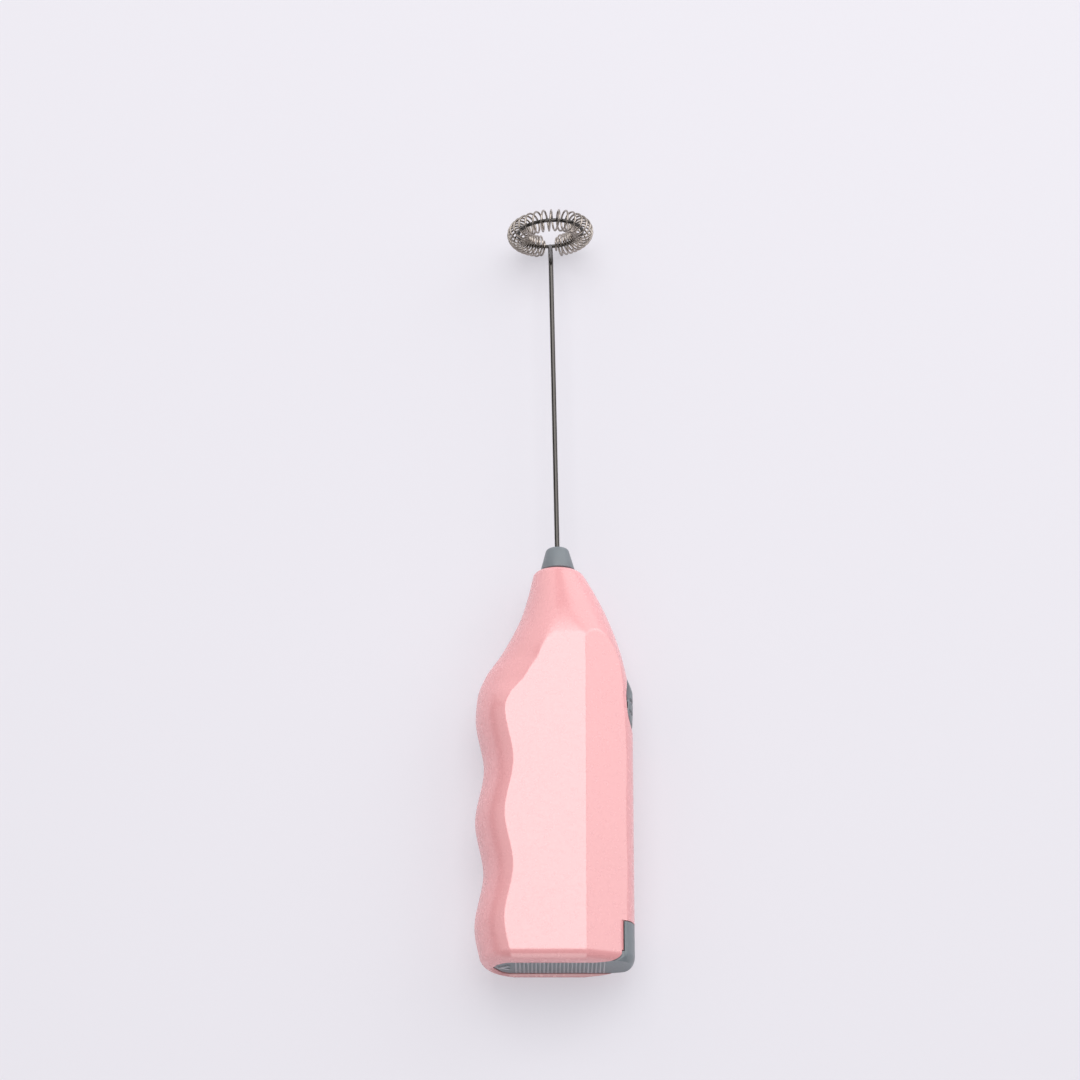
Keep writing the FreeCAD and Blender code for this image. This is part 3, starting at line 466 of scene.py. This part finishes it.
def half_form(name, side):
    """Closed solid of one half of the handle, with a fine groove along the parting line."""
    rows = stations(0.0, NOSE_END, 0.55)
    points = []
    for y in rows:
        section = half_section(y, end_inset(y), COLUMNS)
        first = section[0][0]
        last = section[-1][0]
        inner = [p for p in section[1:-1] if p[1] > 1.5 * SEAM]
        while len(inner) < COLUMNS - 2:
            inner.insert(1, ((inner[0][0] + inner[1][0]) / 2, (inner[0][1] + inner[1][1]) / 2))
        rim = [(first + SEAM, 0.0), (first, SEAM)] + inner + [(last, SEAM), (last - SEAM, 0.0)]
        points += [(x, y, MID + side * h) for x, h in rim]
    return add_mesh(name, points, capped(len(rows), len(rim)))


# ---------------------------------------------------------------- outlines of the door and the switch

def door_outline(half, tip_x, full_x, end_x, y):
    """Strip with a pointed tip on the finger side, which runs out into the full width in a soft bend."""
    upper = [(tip_x, y, MID)]
    for i in range(1, 9):
        s = i / 8
        if s < TIP_SHOULDER:
            width = TIP_WIDTH * s / TIP_SHOULDER
        else:
            bend = math.pi / 2 * (s - TIP_SHOULDER) / (1 - TIP_SHOULDER)
            width = TIP_WIDTH + (1 - TIP_WIDTH) * math.sin(bend)
        upper.append((tip_x + (full_x - tip_x) * s, y, MID + half * width))
    upper.append((end_x, y, MID + half))
    return upper + [(x, py, 2 * MID - z) for x, py, z in upper[:0:-1]]


def strip(name, half, tip_x, full_x, end_x, y0, y1):
    """Closed solid over the outline of the door's strip, from y0 to y1."""
    return prism(name, door_outline(half, tip_x, full_x, end_x, y0), (0, y1 - y0, 0))


def teardrop(radius, centre, tip, x):
    """Round at the bottom end and pointed towards the nose, in the switch's own axes."""
    turn = math.acos(radius / (tip - centre))
    outline = [(x, tip, 0.0)]
    for i in range(41):
        a = turn + (2 * math.pi - 2 * turn) * i / 40
        outline.append((x, centre + radius * math.cos(a), radius * math.sin(a)))
    return outline


def on_spine(point):
    """From the switch's own axes (x out of the spine, y along it, z across) to drawing millimetres."""
    c = math.cos(SPINE_TILT)
    s = math.sin(SPINE_TILT)
    x, y, z = point
    return (thumb_edge(SWITCH_Y) + c * x - s * y, SWITCH_Y + s * x + c * y, MID + z)


def spine_prism(name, outline, depth):
    """Closed solid over an outline in the switch's own axes, as deep as given out of the spine."""
    near = [on_spine(p) for p in outline]
    far = [on_spine((p[0] + depth, p[1], p[2])) for p in outline]
    return add_mesh(name, near + far, capped(2, len(outline)))


def spine_block(name, x0, x1, y0, y1, z0, z1):
    return spine_prism(name, [(x0, y0, z0), (x0, y1, z0), (x0, y1, z1), (x0, y0, z1)], x1 - x0)


# ---------------------------------------------------------------- handle halves

def from_middle(side, heights):
    """Heights over the middle plane, or under it for the back half, as places from low to high."""
    return sorted(MID + side * height for height in heights)


def hollow(half):
    """Cavity, motor room with two flats, nose hole and the seat behind it."""
    combine(half, form_solid("cavity", WALL, CAVITY_Y, NOSE_WALL_Y), "DIFFERENCE")
    motor = cylinder_y("motor_room", MOTOR_R + MOTOR_GAP, MOTOR_Y, MOTOR_END + 2 * MOTOR_GAP)
    flat = MOTOR_FLAT + MOTOR_GAP
    flats = block("flats", -2 * MOTOR_R, 2 * MOTOR_R, MOTOR_Y - 10, MOTOR_END + 10, MID - flat, MID + flat)
    combine(motor, flats, "INTERSECT")
    combine(half, leaned(motor), "DIFFERENCE")
    hole = cylinder_y("nose_hole", NOSE_HOLE_R, NOSE_WALL_Y - 1.2, NOSE_END + 1)
    combine(half, leaned(hole), "DIFFERENCE")
    seat = cylinder_y("nose_seat", NOSE_SEAT_R, NOSE_WALL_Y - 3.2, NOSE_WALL_Y + 0.05)
    combine(half, leaned(seat), "DIFFERENCE")


def add_switch_pad(half, side):
    """Thicker wall round the switch."""
    pad = spine_block("pad", *PAD_X, *PAD_Y, -PAD_HALF, PAD_HALF)
    combine(pad, form_solid("pad_trim", PAD_INSET, 50.0, 96.0), "INTERSECT")
    own_half = block("pad_half", -40, 40, 0, 120, *from_middle(side, (0, MID + 1)))
    combine(pad, own_half, "INTERSECT")
    combine(half, pad, "UNION")


def cut_pocket(half):
    """Pocket in which the slider moves, and the slot for its stem."""
    gap = POCKET_GAP
    floor_x = SLIDER_FLOOR - gap
    for move in (0.0, TRAVEL):
        outline = teardrop(SLIDER_R + gap, SLIDER_CENTRE + move, SLIDER_TIP + 2 * gap + move, floor_x)
        combine(half, spine_prism("pocket", outline, POCKET_OUT), "DIFFERENCE")
    reach = SLIDER_R + gap - HAIR
    middle = spine_block("pocket", floor_x, POCKET_OUT, SLIDER_CENTRE, SLIDER_CENTRE + TRAVEL, -reach, reach)
    combine(half, middle, "DIFFERENCE")
    reach = STEM_HALF_Z + gap
    slot = spine_block("stem_slot", -STEM_SLOT_REACH, STEM_SLOT_REACH, -STEM_HALF_Y - gap,
                       STEM_HALF_Y + TRAVEL + gap, -reach, reach)
    combine(half, slot, "DIFFERENCE")


def cut_door_slot(half):
    """Slot for the door's strip, room for its tongue and window for its leg."""
    parts = ((OUT_X, -1.0, DOOR_PLATE_END + DOOR_GAP), (ROOM_END_X, DOOR_PLATE_END - 0.2, ROOM_END_Y))
    for end_x, y0, y1 in parts:
        combine(half, strip("door_slot", SLOT_HALF, SLOT_TIP_X, SLOT_FULL_X, end_x, y0, y1), "DIFFERENCE")
    deep = TONGUE_HALF + DOOR_GAP
    room = block("tongue_room", TONGUE_X - DOOR_GAP, TONGUE_ROOT_X, TONGUE_Y - DOOR_GAP,
                 DOOR_PLATE_END + DOOR_GAP, MID - deep, MID + deep)
    combine(half, room, "DIFFERENCE")
    wide = SLOT_HALF - HAIR
    window = block("door_window", SLOT_LEG_X, OUT_X + 2, -2, DOOR_LEG_Y + DOOR_GAP, MID - wide, MID + wide)
    combine(half, window, "DIFFERENCE")


def chamfer_door_slot(half, side):
    """Chamfer round the slot's mouth and beside the leg."""
    flare = LIP + LIP_OUT
    mouth = door_outline(SLOT_HALF + flare, SLOT_TIP_X - LIP_TIP * flare, SLOT_FULL_X, OUT_X, -LIP_OUT)
    seat = door_outline(SLOT_HALF, SLOT_TIP_X, SLOT_FULL_X, OUT_X, LIP)
    combine(half, add_mesh("slot_lip", mouth + seat, capped(2, len(mouth))), "DIFFERENCE")
    low = MID + side * LEG_LIP_LOW
    high = MID + side * LEG_LIP_HIGH
    edge = [(SLOT_LEG_X - LEG_LIP_RUN, -1, high), (SLOT_LEG_X + 0.05, -1, low), (SLOT_LEG_X + 4, -1, low),
            (SLOT_LEG_X + 4, -1, high)]
    combine(half, prism("leg_lip", edge, (0, DOOR_LEG_Y + DOOR_GAP + 1, 0)), "DIFFERENCE")


def add_hook_rest(half, side):
    """Rest on which one hook of the door lies."""
    top = HOOK_Y - REST_GAP
    rest = block("hook_rest", HOOK_X, HOOK_X + 1.0, top - REST_T, top, *from_middle(side, REST_SPAN))
    combine(rest, form_solid("rest_trim", PAD_INSET, 1.0, 14.0), "INTERSECT")
    combine(half, rest, "UNION")


def handle_half(name, side):
    """One moulded half: shell wall, motor room, nose hole, slider pocket, door slot and hook rest."""
    half = half_form(name, side)
    hollow(half)
    add_switch_pad(half, side)
    cut_pocket(half)
    cut_door_slot(half)
    chamfer_door_slot(half, side)
    add_hook_rest(half, side)
    return smooth(half)


# ---------------------------------------------------------------- battery door

def door_cover():
    """Grip strip in the bottom end with a leg that turns up the thumb side."""
    door = strip("door_cover", DOOR_HALF - COVER_PLAY, DOOR_TIP_X, DOOR_FULL_X, OUT_X, DOOR_DEPTH,
                 DOOR_PLATE_END)
    wide = DOOR_HALF - HAIR
    leg = block("leg", LEG_X, OUT_X + 1, DOOR_DEPTH + HAIR, DOOR_LEG_Y, MID - wide, MID + wide)
    combine(door, leg, "UNION")
    combine(door, form_solid("trim", 0.0, 0.0, 14.0, outer=True), "INTERSECT")
    tongue = block("tongue", TONGUE_X, TONGUE_ROOT_X, TONGUE_Y, DOOR_PLATE_END - HAIR, MID - TONGUE_HALF,
                   MID + TONGUE_HALF)
    combine(door, tongue, "UNION")
    for side in (1, -1):
        hook = block("hook", HOOK_X, LEG_X + 0.1, HOOK_Y, HOOK_Y + HOOK_T, *from_middle(side, HOOK_SPAN))
        combine(door, hook, "UNION")
    smooth(door)
    return bevel(door, 0.18, 3)


def door_ribs():
    """Rounded grip ribs across the strip, seated in its face."""
    points = []
    faces = []
    around = 8
    across = [-1 + 2 * i / 24 for i in range(25)]
    for number in range(RIB_COUNT):
        x = RIB_FIRST_X + RIB_PITCH * number
        start = len(points)
        for s in across:
            end = math.sqrt(max(1 - abs(s) ** 10, 0.0))
            width = RIB_R * (0.4 + 0.6 * end)
            height = RIB_SEAT + RIB_RISE * end
            for k in range(around + 1):
                a = math.pi * k / around
                points.append((x - width * math.cos(a), DOOR_DEPTH + RIB_SEAT - height * math.sin(a),
                               MID + RIB_HALF * s))
        for face in capped(len(across), around + 1):
            faces.append([start + index for index in face])
    return smooth(add_mesh("door_ribs", points, faces), 60)


def door_mark():
    """Raised mark at the strip's tip."""
    corners = [(-14.9, 0.0), (-12.6, 2.3), (-12.0, 1.7), (-13.7, 0.0), (-12.0, -1.7), (-12.6, -2.3)]
    outline = [(x, DOOR_DEPTH - 0.35, MID + z) for x, z in corners]
    mark = prism("door_mark", outline, (0, 0.5, 0))
    return smooth(bevel(mark, 0.12, 2))


# ---------------------------------------------------------------- thumb slider

def spine_surface(y, height):
    """x of the handle's thumb side at a height over the middle plane."""
    right = thumb_edge(y)
    middle = max(SPINE_X(y), FINGER(y) + BAND(y))
    power = SQUARENESS(y)
    sine = min((abs(height) / RISE(y)) ** (power / 2), 1.0)
    return middle + (right - middle) * math.sqrt(1 - sine * sine) ** (2 / power)


def edge_distance(v, w):
    """Distance of a point inside the teardrop from its outline."""
    v = v - SLIDER_CENTRE
    if math.atan2(abs(w), v) > SLIDER_TURN:
        return SLIDER_R - math.hypot(v, w)
    return SLIDER_R - (math.cos(SLIDER_TURN) * v + math.sin(SLIDER_TURN) * abs(w))


def half_width(v):
    """Half of the teardrop's width at a place along it."""
    v = v - SLIDER_CENTRE
    if v < SLIDER_R * math.cos(SLIDER_TURN):
        return math.sqrt(max(SLIDER_R ** 2 - v * v, 0.0))
    return max((SLIDER_R - math.cos(SLIDER_TURN) * v) / math.sin(SLIDER_TURN), 0.0)


def slider_lift(v, w):
    """Height of the slider's face over the spine: two slopes, grooves across it and a rounded edge."""
    if v < SLIDER_PEAK:
        rise = (v - SLIDER_BOTTOM) / (SLIDER_PEAK - SLIDER_BOTTOM)
        face = SLIDER_LOW + (SLIDER_RISE - SLIDER_LOW) * rise
    else:
        fall = (v - SLIDER_PEAK) / (SLIDER_TIP - SLIDER_PEAK)
        face = SLIDER_RISE + (SLIDER_TIP_LOW - SLIDER_RISE) * fall
    groove = 0.0
    for number in range(GROOVE_COUNT):
        away = abs(v - (SLIDER_BOTTOM + GROOVE_FIRST + GROOVE_PITCH * number)) / GROOVE_HALF
        if away < 1:
            groove = GROOVE_DEPTH * min(GROOVE_STEEP * (1 - away), 1.0)
    inside = SLIDER_EDGE_R - min(max(edge_distance(v, w), 0.0), SLIDER_EDGE_R)
    return face - groove - (SLIDER_EDGE_R - math.sqrt(SLIDER_EDGE_R ** 2 - inside ** 2))


def slider_button():
    """Teardrop button with a crowned and grooved face, as a grid of points over its flat back."""
    rows = 150
    columns = 44
    top = []
    base = []
    for r in range(rows + 1):
        t = r / rows
        share = 0.5 - 0.5 * math.cos(math.pi * t) if t < 0.5 else t
        v = SLIDER_BOTTOM + (SLIDER_TIP - SLIDER_BOTTOM) * share
        y = SWITCH_Y + math.cos(SPINE_TILT) * v
        for k in range(columns + 1):
            w = half_width(v) * math.sin(math.pi / 2 * (2 * k / columns - 1))
            top.append((spine_surface(y, w) + slider_lift(v, w), y, MID + w))
            base.append(on_spine((SLIDER_FLOOR, v, w)))
    count = len(top)
    faces = []
    wide = columns + 1
    for r in range(rows):
        for k in range(columns):
            a = r * wide + k
            faces.append((a, a + 1, a + wide + 1, a + wide))
            faces.append((count + a, count + a + wide, count + a + wide + 1, count + a + 1))
        for a in (r * wide, r * wide + columns):
            faces.append((a, a + wide, count + a + wide, count + a))
    for r in (0, rows):
        for k in range(columns):
            a = r * wide + k
            faces.append((a, a + 1, count + a + 1, count + a))
    slider = add_mesh("thumb_slider", top + base, faces)
    weld(slider.data, 2e-6, drop_slivers=True)
    return smooth(slider, 40)


def slider_stem():
    """Stem under the button, through the wall."""
    stem = spine_block("slider_stem", STEM_END, SLIDER_FLOOR + 0.3, -STEM_HALF_Y, STEM_HALF_Y, -STEM_HALF_Z,
                       STEM_HALF_Z)
    return smooth(bevel(stem, 0.15, 2))


# ---------------------------------------------------------------- whisk

def whisk_cone():
    """Soft cone that covers the nose hole, with the wire through it."""
    bore = WIRE_R - 0.02
    recess_y = HUB_Y + HUB_BASE_EDGE
    profile = [(bore, recess_y), (HUB_RECESS_R, recess_y), (HUB_RECESS_R, HUB_Y)]
    for i in range(6):
        a = math.pi / 2 * i / 5
        radius = HUB_BASE_R - HUB_BASE_EDGE * (1 - math.sin(a))
        profile.append((radius, recess_y - HUB_BASE_EDGE * math.cos(a)))
    for i in range(9):
        a = math.radians(12 + 78 * i / 8)
        radius = HUB_TOP_R - HUB_TOP_EDGE * (1 - math.cos(a))
        profile.append((radius, HUB_END - HUB_TOP_EDGE * (1 - math.sin(a))))
    profile += [(1.2, HUB_END - 0.03), (0.95, HUB_END - 0.25), (bore, HUB_END - 0.3)]
    return smooth(revolve("whisk_cone", profile), 50)


def wire_path():
    """Straight wire that leaves the axis in one soft bend and runs out to the rim of the hoop."""
    bend = Vector((0, BEND_Y, MID))
    rim = Vector((0, RING_Y, MID - RING_R))
    turn = (rim - bend).angle(Vector((0, 1, 0)))
    start = bend - Vector((0, BEND_R * math.tan(turn / 2), 0))
    points = [Vector((0, SHAFT_START_Y, MID))]
    for i in range(17):
        a = turn * i / 16
        points.append(start + Vector((0, BEND_R * math.sin(a), -BEND_R * (1 - math.cos(a)))))
    return points + [rim]


def hoop_path():
    steps = 160
    points = []
    for i in range(steps):
        a = 2 * math.pi * i / steps
        points.append((RING_R * math.sin(a), RING_Y, MID + RING_R * math.cos(a)))
    return points


def coil_path():
    """Open coil bent into a ring round the hoop, its ends wound down onto the hoop beside the shaft."""
    steps = 26
    count = COIL_TURNS * steps
    tight = HOOP_R + COIL_WIRE_R
    points = []
    for i in range(count + 1):
        share = i / count
        uneven = share - COIL_CLOSER * math.sin(2 * math.pi * share) / (2 * math.pi)
        around = math.pi + COIL_GAP + 2 * (math.pi - COIL_GAP) * uneven
        a = 2 * math.pi * i / steps
        wound = min(i, count - i, steps) / steps
        out = tight + (COIL_R - tight) * wound
        reach = RING_R + out * math.cos(a)
        points.append((reach * math.sin(around), RING_Y + out * math.sin(a), MID + reach * math.cos(around)))
    return points


# ---------------------------------------------------------------- materials

def shader_of(name):
    """A new material with its node tree and its shader."""
    material = bpy.data.materials.new(name)
    material.use_nodes = True
    return material, material.node_tree, material.node_tree.nodes["Principled BSDF"]


def noise(tree, coords, scale, detail):
    node = tree.nodes.new("ShaderNodeTexNoise")
    node.inputs["Scale"].default_value = scale
    node.inputs["Detail"].default_value = detail
    node.inputs["Roughness"].default_value = 0.55
    tree.links.new(coords, node.inputs["Vector"])
    return node.outputs["Fac"]


def spread(tree, value, low_value, high_value, start=0.3, end=0.7):
    """A value between start and end, spread over another range."""
    node = tree.nodes.new("ShaderNodeMapRange")
    node.inputs["From Min"].default_value = start
    node.inputs["From Max"].default_value = end
    node.inputs["To Min"].default_value = low_value
    node.inputs["To Max"].default_value = high_value
    tree.links.new(value, node.inputs["Value"])
    return node.outputs["Result"]


def scaled(tree, value, factor):
    node = tree.nodes.new("ShaderNodeMath")
    node.operation = "MULTIPLY"
    node.inputs[1].default_value = factor
    tree.links.new(value, node.inputs[0])
    return node.outputs["Value"]


def blend_colours(tree, factor, first, second):
    """Mix of two colours, each a tuple or a socket."""
    node = tree.nodes.new("ShaderNodeMix")
    node.data_type = "RGBA"
    tree.links.new(factor, node.inputs["Factor"])
    for socket, value in ((node.inputs["A"], first), (node.inputs["B"], second)):
        if isinstance(value, tuple):
            socket.default_value = (*value, 1.0)
        else:
            tree.links.new(value, socket)
    return node.outputs["Result"]


def finish_material(name, colour, rough, metallic=0.0, vary=0.06, rough_vary=0.05, bump=0.02, grain=900.0,
                    wear=0.12, ior=1.5, stretch=(1.0, 1.0, 1.0)):
    """Node finish with soft colour variation, uneven roughness, a fine grain and rubbed edges."""
    material, tree, shader = shader_of(name)
    coordinates = tree.nodes.new("ShaderNodeTexCoord")
    mapping = tree.nodes.new("ShaderNodeMapping")
    mapping.inputs["Scale"].default_value = stretch
    tree.links.new(coordinates.outputs["Object"], mapping.inputs["Vector"])
    coords = mapping.outputs["Vector"]
    broad = noise(tree, coords, 60.0, 3.0)
    fine = noise(tree, coords, grain, 4.0)
    dark = tuple(c * (1 - vary) for c in colour)
    light = tuple(min(c * (1 + vary), 1.0) for c in colour)
    base = blend_colours(tree, spread(tree, broad, 0.0, 1.0), dark, light)
    geometry = tree.nodes.new("ShaderNodeNewGeometry")
    rub = spread(tree, geometry.outputs["Pointiness"], 0.0, 1.0, 0.53, 0.62)
    worn = tuple(min(c * 1.25 + 0.03, 1.0) for c in colour)
    base = blend_colours(tree, scaled(tree, rub, wear), base, worn)
    tree.links.new(base, shader.inputs["Base Color"])
    tree.links.new(spread(tree, fine, rough - rough_vary, rough + rough_vary), shader.inputs["Roughness"])
    relief = tree.nodes.new("ShaderNodeBump")
    relief.inputs["Strength"].default_value = bump
    relief.inputs["Distance"].default_value = 0.0002
    tree.links.new(fine, relief.inputs["Height"])
    tree.links.new(relief.outputs["Normal"], shader.inputs["Normal"])
    shader.inputs["Metallic"].default_value = metallic
    shader.inputs["IOR"].default_value = ior
    return material


def metal_ends(material, colour):
    """Bare metal on the flat ends, which face along the handle."""
    tree = material.node_tree
    shader = tree.nodes["Principled BSDF"]
    normal = tree.nodes.new("ShaderNodeSeparateXYZ")
    geometry = tree.nodes.new("ShaderNodeNewGeometry")
    tree.links.new(geometry.outputs["True Normal"], normal.inputs["Vector"])
    size = tree.nodes.new("ShaderNodeMath")
    size.operation = "ABSOLUTE"
    tree.links.new(normal.outputs["Y"], size.inputs[0])
    end = spread(tree, size.outputs[0], 0.0, 1.0, 0.9, 0.95)
    sleeve = shader.inputs["Base Color"].links[0].from_socket
    tree.links.new(blend_colours(tree, end, sleeve, colour), shader.inputs["Base Color"])
    tree.links.new(end, shader.inputs["Metallic"])
    return material


def make_finishes():
    """Finishes by the name of their slot, plus variants: paler rib grey and bright coil steel are painted
    highlights.
    """
    steel = dict(metallic=1.0, vary=0.1, wear=0.2)
    moulding = dict(vary=0.05, bump=0.05, grain=2500, wear=0.25)
    wire = dict(grain=1500, stretch=(1.0, 0.1, 1.0), bump=0.03, **steel)
    sleeve = finish_material("cell_sleeve", (0.09, 0.1, 0.13), 0.3, vary=0.05)
    return {
        "pink_shell": finish_material("pink_moulding", (0.81, 0.355, 0.37), 0.26, vary=0.012, rough_vary=0.03,
                                      bump=0.004, grain=700, wear=0.05, ior=2.0),
        "grey_plastic": finish_material("grey_moulding", (0.185, 0.21, 0.23), 0.42, **moulding),
        # paler grey on the door's ribs and mark: a painted highlight on the door's own grey plastic
        "rib_grey": finish_material("painted_highlight_moulding", (0.42, 0.42, 0.45), 0.4, **moulding),
        "black_plastic": finish_material("black_moulding", (0.03, 0.03, 0.032), 0.45, vary=0.1),
        "white_plastic": finish_material("white_moulding", (0.78, 0.78, 0.76), 0.4, vary=0.03),
        # near-black base colour: painted shade, a painted dark reflection of the room on the polished shaft
        # and hoop
        "wire_steel": finish_material("painted_dark_steel", (0.075, 0.07, 0.066), 0.16, **wire),
        # the coil is the same steel as the shaft; its lighter base colour paints in its bright highlights
        "coil_steel": finish_material("painted_highlight_wire", (0.36, 0.32, 0.29), 0.12, **wire),
        "motor_steel": finish_material("rolled_steel", (0.52, 0.52, 0.51), 0.3, grain=1200,
                                       stretch=(1.0, 0.2, 1.0), **steel),
        "nickel_contact": finish_material("nickel_plate", (0.66, 0.64, 0.6), 0.25, **steel),
        "cell_wrap": metal_ends(sleeve, (0.62, 0.6, 0.57)),
        "magnet": finish_material("ferrite", (0.035, 0.034, 0.033), 0.6, vary=0.15, bump=0.2),
        "copper": finish_material("copper_wire", (0.62, 0.27, 0.13), 0.35, stretch=(6.0, 1.0, 6.0), bump=0.2,
                                  **steel),
        "lamination": finish_material("lamination_stack", (0.3, 0.3, 0.31), 0.45, stretch=(1.0, 25.0, 1.0),
                                      bump=0.2, **steel),
        "lead_red": finish_material("lead_sleeve_red", (0.5, 0.02, 0.02), 0.45),
        "lead_black": finish_material("lead_sleeve_black", (0.02, 0.02, 0.02), 0.45),
    }


def dress(obj, body, slot_name, replaced=(), finish=None):
    """Gives a new piece the finish of its slot, or the finish named, its body, and hides the CAD nodes it
    stands for.
    """
    obj.data.materials.clear()
    obj.data.materials.append(FINISHES[finish or slot_name])
    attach(obj, body)
    if replaced:
        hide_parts(*replaced)


# ---------------------------------------------------------------- the object
FINISHES = make_finishes()

dress(handle_half("handle_front", 1), "root", "pink_shell", ["front_shell"])
dress(handle_half("handle_back", -1), "root", "pink_shell", ["back_shell"])

dress(door_cover(), "door", "grey_plastic", ["battery_door"])
# the ribs and the mark get the paler grey of painted highlights
dress(door_ribs(), "door", "grey_plastic", finish="rib_grey")
dress(door_mark(), "door", "grey_plastic", finish="rib_grey")

dress(slider_button(), "slider", "grey_plastic", ["switch_slider"])
dress(slider_stem(), "slider", "grey_plastic")

dress(leaned(whisk_cone()), "whisk", "grey_plastic", ["whisk_hub"])
dress(leaned(tube("whisk_wire", wire_path(), WIRE_R, sides=10)), "whisk", "wire_steel", ["whisk_shaft"])
ring = tube("whisk_ring", hoop_path(), HOOP_R, closed=True)
dress(leaned(turned(ring, RING_TILT, RING_CENTRE)), "whisk", "wire_steel", ["whisk_hoop"])
# the coil gets the lighter steel, with painted highlights
spiral = tube("whisk_spiral", coil_path(), COIL_WIRE_R, sides=4)
dress(leaned(turned(spiral, RING_TILT, RING_CENTRE)), "whisk", "wire_steel", ["whisk_coil"],
      finish="coil_steel")

# the inner parts keep their solids and get the finish of their slot
for node in frame["nodes"].values():
    for slot in node.material_slots:
        key = slot.material.name.split(".")[0] if slot.material else ""
        if key in FINISHES:
            slot.material = FINISHES[key]


# ---------------------------------------------------------------- stage, lights and camera
TARGET = place((-4.6, 113.5, MID))
TILT = math.radians(19)          # of the camera, from straight above
CAMERA_DISTANCE = 0.9
LAMP_DISTANCE = 1.1
FLOOR_HALF = 3.0
PAPER = ((0.845, 0.83, 0.88), (0.855, 0.84, 0.89))
PAPER_GLOW = (0.775, 0.752, 0.81)
PAPER_GLOW_SHARE = 0.6


def paper():
    """Pale paper that glows a little to the camera, so that the shadows on it stay faint."""
    material, tree, shader = shader_of("paper")
    coordinates = tree.nodes.new("ShaderNodeTexCoord")
    cloud = noise(tree, coordinates.outputs["Object"], 1.5, 2.0)
    tone = blend_colours(tree, spread(tree, cloud, 0.0, 1.0), *PAPER)
    tree.links.new(tone, shader.inputs["Base Color"])
    shader.inputs["Roughness"].default_value = 0.9
    shader.inputs["Specular IOR Level"].default_value = 0.0
    glow = tree.nodes.new("ShaderNodeEmission")
    glow.inputs["Color"].default_value = (*PAPER_GLOW, 1.0)
    path = tree.nodes.new("ShaderNodeLightPath")
    mix = tree.nodes.new("ShaderNodeMixShader")
    tree.links.new(scaled(tree, path.outputs["Is Camera Ray"], PAPER_GLOW_SHARE), mix.inputs["Fac"])
    tree.links.new(shader.outputs["BSDF"], mix.inputs[1])
    tree.links.new(glow.outputs["Emission"], mix.inputs[2])
    tree.links.new(mix.outputs["Shader"], tree.nodes["Material Output"].inputs["Surface"])
    return material


def floor():
    half = FLOOR_HALF
    corners = [(-half, -half, 0), (half, -half, 0), (half, half, 0), (-half, half, 0)]
    mesh = bpy.data.meshes.new("floor")
    mesh.from_pydata(corners, [], [(0, 1, 2, 3)])
    mesh.materials.append(paper())
    plane = new_object("floor", mesh)


def soft_lamp(name, direction, size, radiance):
    """Square lamp that faces the middle of the object; its power follows from its radiance."""
    data = bpy.data.lights.new(name, "AREA")
    data.size = size
    data.energy = radiance * math.pi * size ** 2
    obj = new_object(name, data)
    back = Vector(direction).normalized()
    obj.location = TARGET + back * LAMP_DISTANCE
    obj.rotation_mode = "QUATERNION"
    obj.rotation_quaternion = (-back).to_track_quat("-Z", "Y")


def room():
    """Dim, nearly white surroundings."""
    world = bpy.data.worlds.new("room")
    world.use_nodes = True
    background = world.node_tree.nodes["Background"]
    background.inputs["Color"].default_value = (1.0, 0.99, 1.0, 1.0)
    background.inputs["Strength"].default_value = 0.2
    bpy.context.scene.world = world


def camera():
    obj = new_object("camera", bpy.data.cameras.new("camera"))
    obj.data.lens = 115.2
    obj.data.sensor_width = 36
    obj.data.clip_start = 0.01
    obj.data.clip_end = 20
    obj.rotation_mode = "QUATERNION"
    toward = Vector((0, -math.sin(TILT), math.cos(TILT)))
    obj.location = TARGET + toward * CAMERA_DISTANCE
    obj.rotation_quaternion = (-toward).to_track_quat("-Z", "Y")
    bpy.context.scene.camera = obj


floor()
soft_lamp("overhead", (0, math.sin(TILT), math.cos(TILT)), 0.92, 3.15)
soft_lamp("back_finger", (-0.55, 0.76, 0.35), 0.9, 0.85)
soft_lamp("back_thumb", (0.55, 0.76, 0.35), 0.9, 1.3)
soft_lamp("finger_side", (-0.8, 0.0, 0.6), 0.8, 0.6)
soft_lamp("thumb_side", (0.739, 0.326, 0.59), 0.8, 1.65)
soft_lamp("front", (0, -0.92, 0.4), 0.8, 1.3)
room()
camera()
bpy.context.scene.view_settings.view_transform = "Standard"
